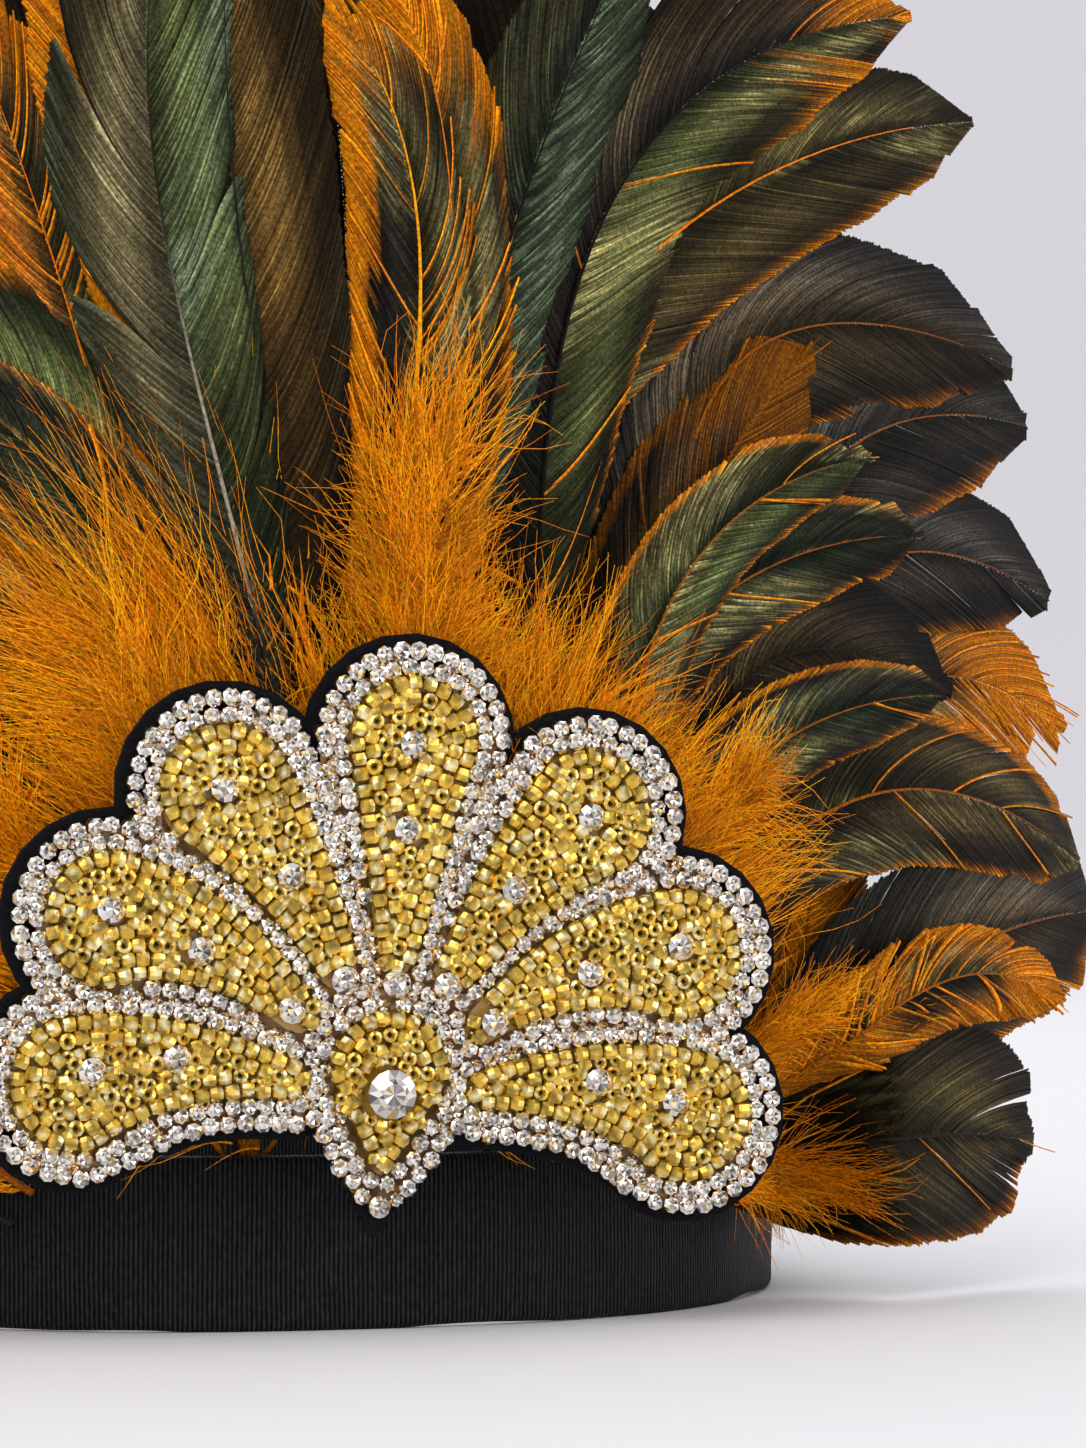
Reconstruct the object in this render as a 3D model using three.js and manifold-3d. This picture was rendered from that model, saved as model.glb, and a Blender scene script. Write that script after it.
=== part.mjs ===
// Carnival feather headdress: an oval fabric band, a fan of cock feathers rooted along its brow, and a
// beaded shell motif that covers the feather roots.
// Millimetres, +Z up. The origin is the centre of the band's lower rim, and the motif faces -Y.
import * as THREE from "three";
import { mergeVertices } from "three/addons/utils/BufferGeometryUtils.js";
import Module from "manifold-3d";

const wasm = await Module();
wasm.setup();

// Driving dimensions
const CLEARANCE = 0.3; // gap kept between neighbouring pieces

const BAND = {
  halfWidth: 77.4, // outside, towards each ear
  halfDepth: 97, // outside, towards brow and nape
  squareness: 2.37, // exponent of the oval: 2 is an ellipse, more is flatter at the brow
  wall: 2.4,
  height: 22,
  sides: 72,
};

const MOTIF = {
  leanDeg: 2, // its top leans forwards
  rollDeg: 3.8, // it sits turned a little clockwise, as sewn on by hand
  hubHeight: 34.3, // hub of the petals above the floor
  standOff: 5.1, // felt's back to the band at the lower tip, where the feather roots lie between
  petalReach: 39.6, // hub to the centre of a petal's round end
  petalEndRadius: 8.3,
  petalBendReach: 28.5, // hub to the point that a petal's axis bends towards
  petalRootReach: 13,
  petalRootRadius: 2.4,
  dropRadius: 7.6,
  dropRise: -1.5, // centre of the drop's round end above the hub
  dropTipReach: 13.6, // hub down to the drop's point
  dropTipRadius: 0.8,
  pointGrow: 1.45, // the drop's point moves out by this share of a border's width
  stoneRise: -4, // middle of the centre stone above the hub
  crystalBorder: 4.2, // two rows of stones round every gold field
  feltMargin: 1.2,
  feltThickness: 1.5,
  crystalThickness: 2,
  goldThickness: 2.4,
  outlineSteps: 10,
};

const STONE = { radius: 3.1, girdle: 0.9, crown: 1.1, tableShare: 0.55, facets: 12 };

const PLUME = {
  thickness: 1.2,
  quillHalf: 0.6, // half width of the bare quill at the root
  faceGap: 0.5, // back of a feather to the band's outer face
  rimGap: 0.75, // middle of a quill's end above the rim, so that a tilted end stays clear
  camber: 0.6, // rise of the middle of a vane over its edges
  tierPitch: 1.8, // depth from one layer of feathers to the next
  tierStart: 0, // distance from the roots where the layers begin to part
  tierFull: 56, // distance from the roots where they are fully parted
  seatFull: 18, // distance from the roots where a feather has left the curve of the band
};

const FRONT = {
  rootSpan: 60, // the roots lie on the band within this distance of the middle
  browSpan: 34, // the brow's layers begin to part at this distance from the middle
  cheekSpan: 38, // the cheeks' layers begin to part at this distance from the middle
  bowRadius: 134, // the fan curves back to each side on this radius
  leanFrom: 34, // height where the fan begins to lean back
  leanBack: 0.1,
};

// Outline of a plume: share of its length, and half width as a share of its widest half
const PLUME_OUTLINE = [
  { along: 0, half: 0 },
  { along: 0.16, half: 0.08 },
  { along: 0.31, half: 0.42 },
  { along: 0.46, half: 0.9 },
  { along: 0.61, half: 1 },
  { along: 0.75, half: 0.92 },
  { along: 0.87, half: 0.68 },
  { along: 0.95, half: 0.38 },
  { along: 1, half: 0.06 },
];

// Gold petals from left to right: directions of the round end, the bend and the narrow root, from straight up
const PETALS = [
  { name: "petal_left_low", endDeg: -97, bendDeg: -90, rootDeg: -103 },
  { name: "petal_left_mid", endDeg: -67, bendDeg: -56, rootDeg: -67 },
  { name: "petal_left_high", endDeg: -36, bendDeg: -31, rootDeg: -34 },
  { name: "petal_top", endDeg: 0, bendDeg: 0, rootDeg: 0 },
  { name: "petal_right_high", endDeg: 36, bendDeg: 31, rootDeg: 34 },
  { name: "petal_right_mid", endDeg: 67, bendDeg: 56, rootDeg: 67 },
  { name: "petal_right_low", endDeg: 97, bendDeg: 90, rootDeg: 103 },
];

// Feathers by row. A bow above 0 bulges to the right of the line from root to tip. A hook of 1 bends
// evenly, and more bends later, nearer the tip. A higher tier lies nearer the viewer.
// Middle of the brow, on the band's upper rim
const CENTRE_PLUMES = [
  { name: "plume_c1", root: -5.4, tipX: -23, tipZ: 188, bow: -9, hook: 2.9, width: 25, tier: 6 },
  { name: "plume_c2", root: -2.8, tipX: -17, tipZ: 185, bow: -4, hook: 2.4, width: 28, tier: 5 },
  { name: "plume_c3", root: -0.2, tipX: -4, tipZ: 169, bow: 10, hook: 3.5, width: 18, tier: 4 },
  { name: "plume_c4", root: 5.4, tipX: 2, tipZ: 178, bow: 9, hook: 3.3, width: 20, tier: 3 },
  { name: "tuft_top", root: 2.6, tipX: 7, tipZ: 115, bow: 0, hook: 1.6, width: 24, tier: 6 },
];

// Right of the brow, on the upper rim
const RIGHT_PLUMES = [
  { name: "plume_1", root: 8, tipX: 42, tipZ: 183, bow: -14, hook: 1.1, width: 22, tier: 2 },
  { name: "plume_2", root: 13.2, tipX: 89, tipZ: 176, bow: -34, hook: 2, width: 28, tier: 1 },
  { name: "plume_3", root: 10.6, tipX: 102, tipZ: 163, bow: -40, hook: 1.2, width: 26, tier: 0 },
  { name: "plume_4", root: 20.8, tipX: 76, tipZ: 113, bow: -19, hook: 1.9, width: 15, tier: 4 },
  { name: "plume_5", root: 18.2, tipX: 87, tipZ: 103, bow: -24, hook: 1.3, width: 17, tier: 2 },
];

// Left of the brow, on the upper rim
const LEFT_PLUMES = [
  { name: "plume_1", root: -8, tipX: -38, tipZ: 180, bow: 6, hook: 1.6, width: 22, tier: 2 },
  { name: "plume_2", root: -18.2, tipX: -64, tipZ: 134, bow: 16, hook: 2.1, width: 27, tier: 1 },
  { name: "plume_3", root: -10.6, tipX: -52, tipZ: 176, bow: 3, hook: 2.2, width: 20, tier: 0 },
  { name: "plume_4", root: -13.2, tipX: -59, tipZ: 124, bow: 15, hook: 1.3, width: 17, tier: 4 },
  { name: "plume_5", root: -20.8, tipX: -87, tipZ: 103, bow: 24, hook: 1.6, width: 17, tier: 2 },
];

// Upper rim further to the right, which the left mirrors
const RIM_PLUMES = [
  { name: "plume_6", root: 34, tipX: 93, tipZ: 82, bow: -27, hook: 2, width: 22, tier: 0 },
  { name: "plume_7", root: 23.4, tipX: 88, tipZ: 81, bow: -17, hook: 1.2, width: 14, tier: 4 },
  { name: "plume_8", root: 31.4, tipX: 118, tipZ: 58, bow: -26, hook: 1.1, width: 22, tier: 2 },
  { name: "plume_12", root: 28.6, tipX: 70, tipZ: 128, bow: -12, hook: 1.5, width: 24, tier: -1 },
  { name: "tuft_1", root: 15.8, tipX: 36, tipZ: 95, bow: -3, hook: 1.6, width: 24, tier: 7 },
  { name: "tuft_2", root: 26, tipX: 58, tipZ: 76, bow: -4, hook: 1.6, width: 18, tier: 6 },
];

// Rear row on the upper rim behind the right cheek, which the left mirrors
const REAR_PLUMES = [
  { name: "rear_1", root: 41, tipX: 111, tipZ: 129, bow: -44, hook: 2.2, width: 22, tier: -2 },
  { name: "rear_2", root: 44, tipX: 115, tipZ: 121, bow: -30, hook: 2, width: 23, tier: -3 },
  { name: "rear_3", root: 47, tipX: 120, tipZ: 96, bow: -32, hook: 2, width: 19, tier: -4 },
  { name: "rear_4", root: 50, tipX: 123, tipZ: 77, bow: -26, hook: 2, width: 18, tier: -5 },
];

// Right cheek, on the band's outer face behind the lowest petal, which the left mirrors
const CHEEK_PLUMES = [
  { name: "plume_9", root: 40, rootZ: 16.5, tipX: 122, tipZ: 51, bow: -8, hook: 1.3, width: 21, tier: 0 },
  { name: "plume_10", root: 47, rootZ: 17, tipX: 109, tipZ: 39, bow: -12, hook: 1.5, width: 14, tier: 4 },
  { name: "plume_11", root: 42.5, rootZ: 13, tipX: 105, tipZ: 19.5, bow: -5, hook: 1, width: 20, tier: 1 },
  { name: "tuft_3", root: 36.4, rootZ: 19, tipX: 74, tipZ: 42, bow: -4, hook: 1.6, width: 14, tier: 7 },
  { name: "tuft_4", root: 44.5, rootZ: 10.5, tipX: 72, tipZ: 9.5, bow: -1, hook: 1.6, width: 10, tier: 5 },
];

// Backing feathers behind the middle, rooted on the band's inner face
const BACK_PLUMES = [
  { name: "back_left", root: -16, rootZ: 17, tipX: -33, tipZ: 172, bow: -3, hook: 1.6, width: 26, tier: -2 },
  { name: "back_middle", root: 0, rootZ: 17, tipX: -2, tipZ: 176, bow: 2, hook: 1.6, width: 28, tier: -1 },
  { name: "back_right", root: 16, rootZ: 17, tipX: 30, tipZ: 174, bow: 2, hook: 1.6, width: 26, tier: -2 },
];

const MATERIALS = {
  band: new THREE.MeshStandardMaterial({ color: 0x17181b, roughness: 0.8 }),
  felt: new THREE.MeshStandardMaterial({ color: 0x141416, roughness: 0.95 }),
  gold: new THREE.MeshStandardMaterial({ color: 0xd6a92f, roughness: 0.25, metalness: 0.4 }),
  crystal: new THREE.MeshStandardMaterial({ color: 0xe9e6e4, roughness: 0.1, metalness: 0.2 }),
  bronze: new THREE.MeshStandardMaterial({ color: 0x2c2a1c, roughness: 0.45, metalness: 0.3 }),
  orange: new THREE.MeshStandardMaterial({ color: 0xd9760c, roughness: 0.7 }),
};

const headdress = new THREE.Group();
const motif = new THREE.Group();
headdress.add(motif);

function addPiece(parent, name, geometry, material) {
  const mesh = new THREE.Mesh(geometry, material);
  mesh.name = name;
  parent.add(mesh);
  return mesh;
}

// Solids for joining and cutting
function solidFrom(geometry) {
  const bare = geometry.clone();
  bare.deleteAttribute("normal");
  bare.deleteAttribute("uv");
  const merged = mergeVertices(bare, 1e-4);
  const vertProperties = merged.attributes.position.array;
  const triVerts = new Uint32Array(merged.index.array);
  return new wasm.Manifold(new wasm.Mesh({ numProp: 3, vertProperties, triVerts }));
}

function geometryFrom(solid) {
  const mesh = solid.getMesh();
  const geometry = new THREE.BufferGeometry();
  geometry.setAttribute("position", new THREE.BufferAttribute(mesh.vertProperties, 3));
  geometry.setIndex(new THREE.BufferAttribute(mesh.triVerts, 1));
  geometry.computeVertexNormals();
  return geometry;
}

// Headband: a flat wall along a squared oval
function ovalPoint(angle, halfWidth, halfDepth) {
  const power = 2 / BAND.squareness;
  const c = Math.cos(angle);
  const s = Math.sin(angle);
  const x = halfWidth * Math.sign(c) * Math.abs(c) ** power;
  const y = halfDepth * Math.sign(s) * Math.abs(s) ** power;
  return new THREE.Vector2(x, y);
}

function ovalPoints(inset) {
  const points = [];
  for (let i = 0; i < BAND.sides; i++) {
    const angle = (2 * Math.PI * i) / BAND.sides;
    points.push(ovalPoint(angle, BAND.halfWidth - inset, BAND.halfDepth - inset));
  }
  return points;
}

function headbandGeometry() {
  const wall = new THREE.Shape(ovalPoints(0));
  wall.holes.push(new THREE.Path(ovalPoints(BAND.wall)));
  return new THREE.ExtrudeGeometry(wall, { depth: BAND.height, bevelEnabled: false });
}

// Distance of the band's face from its centre plane, at a place along the other half axis
function bandFace(place, alongHalf, faceHalf) {
  const share = Math.min(Math.abs(place) / alongHalf, 0.97);
  return faceHalf * (1 - share ** BAND.squareness) ** (1 / BAND.squareness);
}

// Shell motif: teardrop fields swept along a bent axis, in the motif's own plane
function polar(reach, degFromUp) {
  const angle = THREE.MathUtils.degToRad(degFromUp);
  return new THREE.Vector2(reach * Math.sin(angle), reach * Math.cos(angle));
}

function teardropShape(root, rootRadius, end, endRadius, bend) {
  const axis = new THREE.QuadraticBezierCurve(root, bend, end);
  const leftEdge = [];
  const rightEdge = [];
  for (let i = 0; i <= MOTIF.outlineSteps; i++) {
    const t = i / MOTIF.outlineSteps;
    const along = axis.getTangent(t);
    const out = new THREE.Vector2(-along.y, along.x);
    const radius = rootRadius + (endRadius - rootRadius) * t;
    leftEdge.push(axis.getPoint(t).addScaledVector(out, radius));
    rightEdge.push(axis.getPoint(t).addScaledVector(out, -radius));
  }
  const roundEnd = arcPoints(end, endRadius, axis.getTangent(1));
  const roundRoot = arcPoints(root, rootRadius, axis.getTangent(0).negate());
  return new THREE.Shape([...rightEdge, ...roundEnd, ...leftEdge.reverse(), ...roundRoot]);
}

// Half circle that starts to the right of the outward direction and ends to its left, ends left out
function arcPoints(centre, radius, outward) {
  const start = Math.atan2(outward.y, outward.x) - Math.PI / 2;
  const points = [];
  for (let i = 1; i < MOTIF.outlineSteps; i++) {
    const angle = start + (Math.PI * i) / MOTIF.outlineSteps;
    const offset = new THREE.Vector2(Math.cos(angle), Math.sin(angle)).multiplyScalar(radius);
    points.push(offset.add(centre));
  }
  return points;
}

function petalShape(petal, grow) {
  const root = polar(MOTIF.petalRootReach, petal.rootDeg);
  const end = polar(MOTIF.petalReach, petal.endDeg);
  const bend = polar(MOTIF.petalBendReach, petal.bendDeg);
  return teardropShape(root, MOTIF.petalRootRadius + grow, end, MOTIF.petalEndRadius + grow, bend);
}

// The drop's lower end stays pointed as it grows
function dropShape(grow) {
  const tip = new THREE.Vector2(0, -MOTIF.dropTipReach - grow * MOTIF.pointGrow);
  const end = new THREE.Vector2(0, MOTIF.dropRise);
  const middle = tip.clone().add(end).multiplyScalar(0.5);
  return teardropShape(tip, MOTIF.dropTipRadius, end, MOTIF.dropRadius + grow, middle);
}

function fieldShapes(grow) {
  return [...PETALS.map((petal) => petalShape(petal, grow)), dropShape(grow)];
}

function plate(shape, from, thickness) {
  const geometry = new THREE.ExtrudeGeometry(shape, { depth: thickness, bevelEnabled: false });
  return geometry.translate(0, 0, from);
}

function joinedPlate(grow, from, thickness) {
  const solids = fieldShapes(grow).map((shape) => solidFrom(plate(shape, from, thickness)));
  return solids.reduce((whole, next) => whole.add(next));
}

function addMotif() {
  const crystalFrom = MOTIF.feltThickness + CLEARANCE;
  const feltGrow = MOTIF.crystalBorder + MOTIF.feltMargin;
  const felt = joinedPlate(feltGrow, 0, MOTIF.feltThickness);
  addPiece(motif, "felt_backing", geometryFrom(felt), MATERIALS.felt);

  const rows = joinedPlate(MOTIF.crystalBorder, crystalFrom, MOTIF.crystalThickness);
  const fields = joinedPlate(CLEARANCE, crystalFrom - 1, MOTIF.crystalThickness + 2);
  addPiece(motif, "crystal_rows", geometryFrom(rows.subtract(fields)), MATERIALS.crystal);

  for (const petal of PETALS) {
    const field = plate(petalShape(petal, 0), crystalFrom, MOTIF.goldThickness);
    addPiece(motif, petal.name, field, MATERIALS.gold);
  }
  const drop = plate(dropShape(0), crystalFrom, MOTIF.goldThickness);
  addPiece(motif, "centre_drop", drop, MATERIALS.gold);

  const stone = addPiece(motif, "centre_stone", stoneGeometry(), MATERIALS.crystal);
  stone.position.set(0, MOTIF.stoneRise, crystalFrom + MOTIF.goldThickness + CLEARANCE);

  // The lower tip of the felt stands off the band by the depth of the feather roots
  const lean = THREE.MathUtils.degToRad(MOTIF.leanDeg);
  const tipReach = MOTIF.dropTipReach + feltGrow * MOTIF.pointGrow;
  const hubOut = BAND.halfDepth + MOTIF.standOff + tipReach * Math.sin(lean);
  motif.position.set(0, -hubOut, MOTIF.hubHeight);
  motif.rotation.set(Math.PI / 2 + lean, 0, -THREE.MathUtils.degToRad(MOTIF.rollDeg));
}

// Cut stone with a flat base, turned about the motif's outward axis
function stoneGeometry() {
  const table = STONE.radius * STONE.tableShare;
  const profile = [
    new THREE.Vector2(0, 0),
    new THREE.Vector2(STONE.radius, 0),
    new THREE.Vector2(STONE.radius, STONE.girdle),
    new THREE.Vector2(table, STONE.girdle + STONE.crown),
    new THREE.Vector2(0, STONE.girdle + STONE.crown),
  ];
  return new THREE.LatheGeometry(profile, STONE.facets).rotateX(Math.PI / 2);
}

// Plumes: each is the closed outer form of one feather, a thin cambered blade along a bent midrib
function share(value, from, to) {
  return THREE.MathUtils.smoothstep(value, from, to);
}

// Distance of a place beside and above a row of roots
function reachFromRoots(across, up, rootFrom, rootTo, rootHeight) {
  const beside = across - THREE.MathUtils.clamp(across, rootFrom, rootTo);
  return Math.hypot(beside, Math.max(0, up - rootHeight));
}

// Depth of a layer before the face it is rooted on
function layerDepth(tier, reach) {
  return tier * PLUME.tierPitch * share(reach, PLUME.tierStart, PLUME.tierFull);
}

// Point of a feather on the band's outer face: across to the right, up, and depth within the blade
function facePlace(across, up, tier, depth) {
  const reach = reachFromRoots(across, up, -FRONT.cheekSpan, FRONT.cheekSpan, BAND.height);
  return fanPlace(across, up, layerDepth(tier, reach) + PLUME.faceGap + PLUME.thickness / 2 + depth);
}

// Point of a feather whose quill stands on the middle of the band's upper rim
function rimPlace(across, up, tier, depth) {
  const reach = reachFromRoots(across, up, -FRONT.browSpan, FRONT.browSpan, BAND.height);
  return fanPlace(across, up, layerDepth(tier, reach) - BAND.wall / 2 + depth);
}

// Point of a feather of the rear row, which stands on the rim behind the others
function rearPlace(across, up, tier, depth) {
  return fanPlace(across, up, layerDepth(tier, up - BAND.height) - BAND.wall / 2 + depth);
}

// Point of a backing feather, behind the band's wall
function innerPlace(across, up, tier, depth) {
  const behind = BAND.wall + PLUME.faceGap + PLUME.thickness / 2;
  return fanPlace(across, up, layerDepth(tier, up - BAND.height) - behind + depth);
}

// Point of the fan, which follows the band at its roots and a wider bow above them
function fanPlace(across, up, forward) {
  const reach = reachFromRoots(across, up, -FRONT.rootSpan, FRONT.rootSpan, BAND.height);
  const onBand = bandFace(across, BAND.halfWidth, BAND.halfDepth);
  const onFan = BAND.halfDepth - across ** 2 / (2 * FRONT.bowRadius);
  const face = THREE.MathUtils.lerp(onBand, onFan, share(reach, 0, PLUME.seatFull));
  const lean = FRONT.leanBack * Math.max(0, up - FRONT.leanFrom);
  return new THREE.Vector3(across, lean - face - forward, up);
}

// Six corners of a blade's section, from edge to edge across the vane
const SECTION = [
  { across: -1, side: 0 },
  { across: -0.4, side: -1 },
  { across: 0.4, side: -1 },
  { across: 1, side: 0 },
  { across: 0.4, side: 1 },
  { across: -0.4, side: 1 },
];

// Sideways bend of a midrib, as a share of its bow: none at the root, most past the middle
function bendShare(t, hook) {
  const peakAt = hook / (hook + 1);
  const peak = peakAt ** hook * (1 - peakAt);
  return (t ** hook * (1 - t)) / peak;
}

function midribPoint(row, t) {
  const root = new THREE.Vector2(row.root, row.rootZ ?? BAND.height + PLUME.rimGap);
  const chord = new THREE.Vector2(row.tipX, row.tipZ).sub(root);
  const right = new THREE.Vector2(chord.y, -chord.x).normalize();
  return root.addScaledVector(chord, t).addScaledVector(right, row.bow * bendShare(t, row.hook));
}

function midribDirection(row, t) {
  const before = midribPoint(row, Math.max(0, t - 0.01));
  return midribPoint(row, Math.min(1, t + 0.01)).sub(before).normalize();
}

function plumeGeometry(row, place) {
  const corners = [];
  for (const station of PLUME_OUTLINE) {
    const centre = midribPoint(row, station.along);
    const along = midribDirection(row, station.along);
    const out = new THREE.Vector2(along.y, -along.x);
    const half = Math.max((station.half * row.width) / 2, PLUME.quillHalf);
    for (const corner of SECTION) {
      const at = centre.clone().addScaledVector(out, half * corner.across);
      const rise = PLUME.camber * (1 - corner.across ** 2) * station.half;
      corners.push(place(at.x, at.y, row.tier, rise + (corner.side * PLUME.thickness) / 2));
    }
  }
  return loftGeometry(corners, SECTION.length);
}

// Closed loft through rings of equal corner count, capped at both ends
function loftGeometry(corners, ringSize) {
  const rings = corners.length / ringSize;
  const index = [];
  for (let ring = 0; ring + 1 < rings; ring++) {
    for (let i = 0; i < ringSize; i++) {
      const a = ring * ringSize + i;
      const b = ring * ringSize + ((i + 1) % ringSize);
      index.push(a, a + ringSize, b, b, a + ringSize, b + ringSize);
    }
  }
  const last = (rings - 1) * ringSize;
  for (let i = 1; i + 1 < ringSize; i++) {
    index.push(0, i, i + 1, last, last + i + 1, last + i);
  }
  const geometry = new THREE.BufferGeometry().setFromPoints(corners);
  geometry.setIndex(index);
  geometry.computeVertexNormals();
  return geometry;
}

// A mirrored copy keeps its faces pointing out by turning each triangle round
function mirroredGeometry(geometry) {
  const mirrored = geometry.clone().scale(-1, 1, 1);
  const index = mirrored.index.array;
  for (let i = 0; i < index.length; i += 3) {
    [index[i + 1], index[i + 2]] = [index[i + 2], index[i + 1]];
  }
  mirrored.computeVertexNormals();
  return mirrored;
}

function materialOf(row) {
  return row.name.startsWith("tuft") ? MATERIALS.orange : MATERIALS.bronze;
}

function addPlume(row, suffix, geometry) {
  addPiece(headdress, row.name + suffix, geometry, materialOf(row));
}

function addPair(row, place) {
  const geometry = plumeGeometry(row, place);
  addPlume(row, "_right", geometry);
  addPlume(row, "_left", mirroredGeometry(geometry));
}

addPiece(headdress, "headband", headbandGeometry(), MATERIALS.band);
addMotif();
for (const row of CENTRE_PLUMES) addPlume(row, "", plumeGeometry(row, rimPlace));
for (const row of RIGHT_PLUMES) addPlume(row, "_right", plumeGeometry(row, rimPlace));
for (const row of LEFT_PLUMES) addPlume(row, "_left", plumeGeometry(row, rimPlace));
for (const row of RIM_PLUMES) addPair(row, rimPlace);
for (const row of REAR_PLUMES) addPair(row, rearPlace);
for (const row of CHEEK_PLUMES) addPair(row, facePlace);
for (const row of BACK_PLUMES) addPlume(row, "", plumeGeometry(row, innerPlace));

export default headdress;
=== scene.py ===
"""Carnival feather headdress: its looks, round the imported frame. Lengths in mm until a mesh is made."""
import bmesh
import bpy
import math
import numpy as np
from mathutils import Matrix
from types import SimpleNamespace as Sizes


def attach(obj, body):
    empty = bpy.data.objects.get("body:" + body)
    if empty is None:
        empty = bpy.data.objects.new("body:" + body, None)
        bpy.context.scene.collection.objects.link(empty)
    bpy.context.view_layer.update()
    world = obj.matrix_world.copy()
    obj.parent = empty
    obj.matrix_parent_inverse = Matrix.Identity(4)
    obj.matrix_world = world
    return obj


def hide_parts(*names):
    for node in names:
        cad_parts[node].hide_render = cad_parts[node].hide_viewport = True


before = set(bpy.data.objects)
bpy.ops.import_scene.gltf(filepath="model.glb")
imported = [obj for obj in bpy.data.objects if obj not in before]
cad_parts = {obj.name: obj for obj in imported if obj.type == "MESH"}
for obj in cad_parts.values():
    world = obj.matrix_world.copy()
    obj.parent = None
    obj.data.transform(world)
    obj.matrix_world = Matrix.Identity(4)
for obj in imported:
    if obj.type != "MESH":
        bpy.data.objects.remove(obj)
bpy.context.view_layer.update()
MM = 0.001
SEED = 20
BEAD_SEED = 2000
STONE_SEED = 4000
FLOOR_GAP = 0.4

# Colours, linear red, green, blue
INK = (0.006, 0.006, 0.005)
SOOT = (0.018, 0.015, 0.011)
BARK = (0.052, 0.033, 0.011)
UMBER = (0.075, 0.040, 0.008)
GREY = (0.060, 0.054, 0.046)
TAUPE = (0.150, 0.125, 0.062)
OLIVE = (0.044, 0.036, 0.010)
MOSS = (0.020, 0.028, 0.011)
JADE = (0.082, 0.098, 0.030)
TEAL = (0.34, 0.45, 0.24)
GILT = (0.60, 0.52, 0.19)
RUST = (0.30, 0.085, 0.003)
ORANGE = (0.90, 0.21, 0.001)
AMBER = (1.0, 0.38, 0.004)
HORN = (0.40, 0.34, 0.24)

# Band
BAND = Sizes(half_width=77.4, half_depth=97.0, squareness=2.37, wall=2.4, height=22.0)

# Feathers: how they stand on the band
FAN = Sizes(root_span=60.0, brow_span=34.0, cheek_span=38.0, bow_radius=134.0, lean_from=34.0,
            lean_back=0.1, thickness=1.2, quill=0.6, face_gap=0.5, rim_gap=0.75, tier_pitch=1.8,
            tier_full=56.0, seat_full=18.0, side_limit=0.97)
# Blades: where they begin, how far along they widen, and how wide they are there, by their kind
OUTLINES = {
    "even": (.2, (0, .16, .31, .46, .61, .75, .87, .95, 1), (.10, .25, .55, .9, 1, .97, .86, .6, .08)),
    "late": (.28, (0, .26, .38, .50, .64, .78, .89, .96, 1), (.05, .07, .34, .74, .97, 1, .86, .55, .06)),
    "blunt": (.12, (0, .16, .31, .46, .61, .75, .87, .95, 1), (.1, .35, .65, .92, 1, 1, .92, .7, .14)),
}
LATE_ABOVE = 130
# Blades that are fuller than the solid that stands for them
FULLER = {"inner": 1.6, "rear": 1.3, "plume_11": 1.5, "plume_9": 1.4, "plume_6": 1.25}
BLUNT_NAMES = ("plume_11", "plume_9")
LONGER = {"inner": 10}
RAISED = {"tuft_4": 5.5}

# Styles: colours by the rib and at the edge, left and right of the growing rib, and where orange shows
STYLE_COLUMNS = ("left_in", "left_out", "right_in", "right_out", "glint", "glints", "edge_left",
                 "edge_right", "tip", "rib", "rib_size", "down", "split", "loose")
STYLE_ROWS = {
    "bronze": (TAUPE, OLIVE, JADE, MOSS, TEAL, .9, 0, 0, 0, SOOT, 1, .30, .9, 0),
    "plain": (UMBER, OLIVE, UMBER, BARK, TAUPE, .3, 0, 0, 0, SOOT, 1, .30, .15, 0),
    "flame": (SOOT, INK, OLIVE, SOOT, GILT, .8, .36, 0, .05, AMBER, 1.6, .50, .5, .05),
    "blaze": (OLIVE, ORANGE, OLIVE, SOOT, GILT, .8, .42, .12, .12, ORANGE, .8, .52, .5, .10),
    "ink": (INK, OLIVE, INK, MOSS, TEAL, .6, 0, 0, 0, INK, 1.2, .30, .2, 0),
    "striped": (SOOT, BARK, JADE, OLIVE, GILT, 1.0, 0, .05, .03, INK, 1.1, .30, .25, .015),
    "sickle": (OLIVE, BARK, OLIVE, BARK, GILT, .8, 0, .03, 0, ORANGE, 1.1, .3, .15, .004),
    "emerald": (MOSS, OLIVE, JADE, MOSS, GILT, 1.0, .03, .04, 0, RUST, .9, .34, .3, .02),
    "forest": (MOSS, SOOT, MOSS, SOOT, GILT, .7, .03, .04, 0, RUST, .9, .38, .3, .02),
    "dusk": (BARK, SOOT, BARK, SOOT, TAUPE, .25, 0, .01, 0, SOOT, 1, .3, .2, 0),
    "brass": (OLIVE, BARK, BARK, SOOT, GILT, .7, .015, .02, 0, RUST, 1, .30, .25, .01),
    "ash": (BARK, GREY, BARK, SOOT, TAUPE, .3, 0, .02, 0, RUST, 1, .22, .2, 0),
    "fringe": (MOSS, RUST, MOSS, RUST, GILT, .4, .3, .34, .15, RUST, .8, .5, .5, .1),
    "ragged": (OLIVE, BARK, BARK, SOOT, JADE, .4, 0, .015, 0, SOOT, 1.1, .2, .12, .01),
    "slate": (GREY, SOOT, SOOT, SOOT, TAUPE, .2, 0, .015, 0, RUST, 1, .25, .2, 0),
    "ember": (BARK, SOOT, BARK, SOOT, RUST, .5, .03, .03, .16, RUST, .9, .3, .3, .02),
    "tuft": (ORANGE, AMBER, ORANGE, AMBER, AMBER, .2, 1, 1, 1, ORANGE, .7, 1, .8, 1),
}
STYLES = {name: dict(zip(STYLE_COLUMNS, row)) for name, row in STYLE_ROWS.items()}

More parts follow.
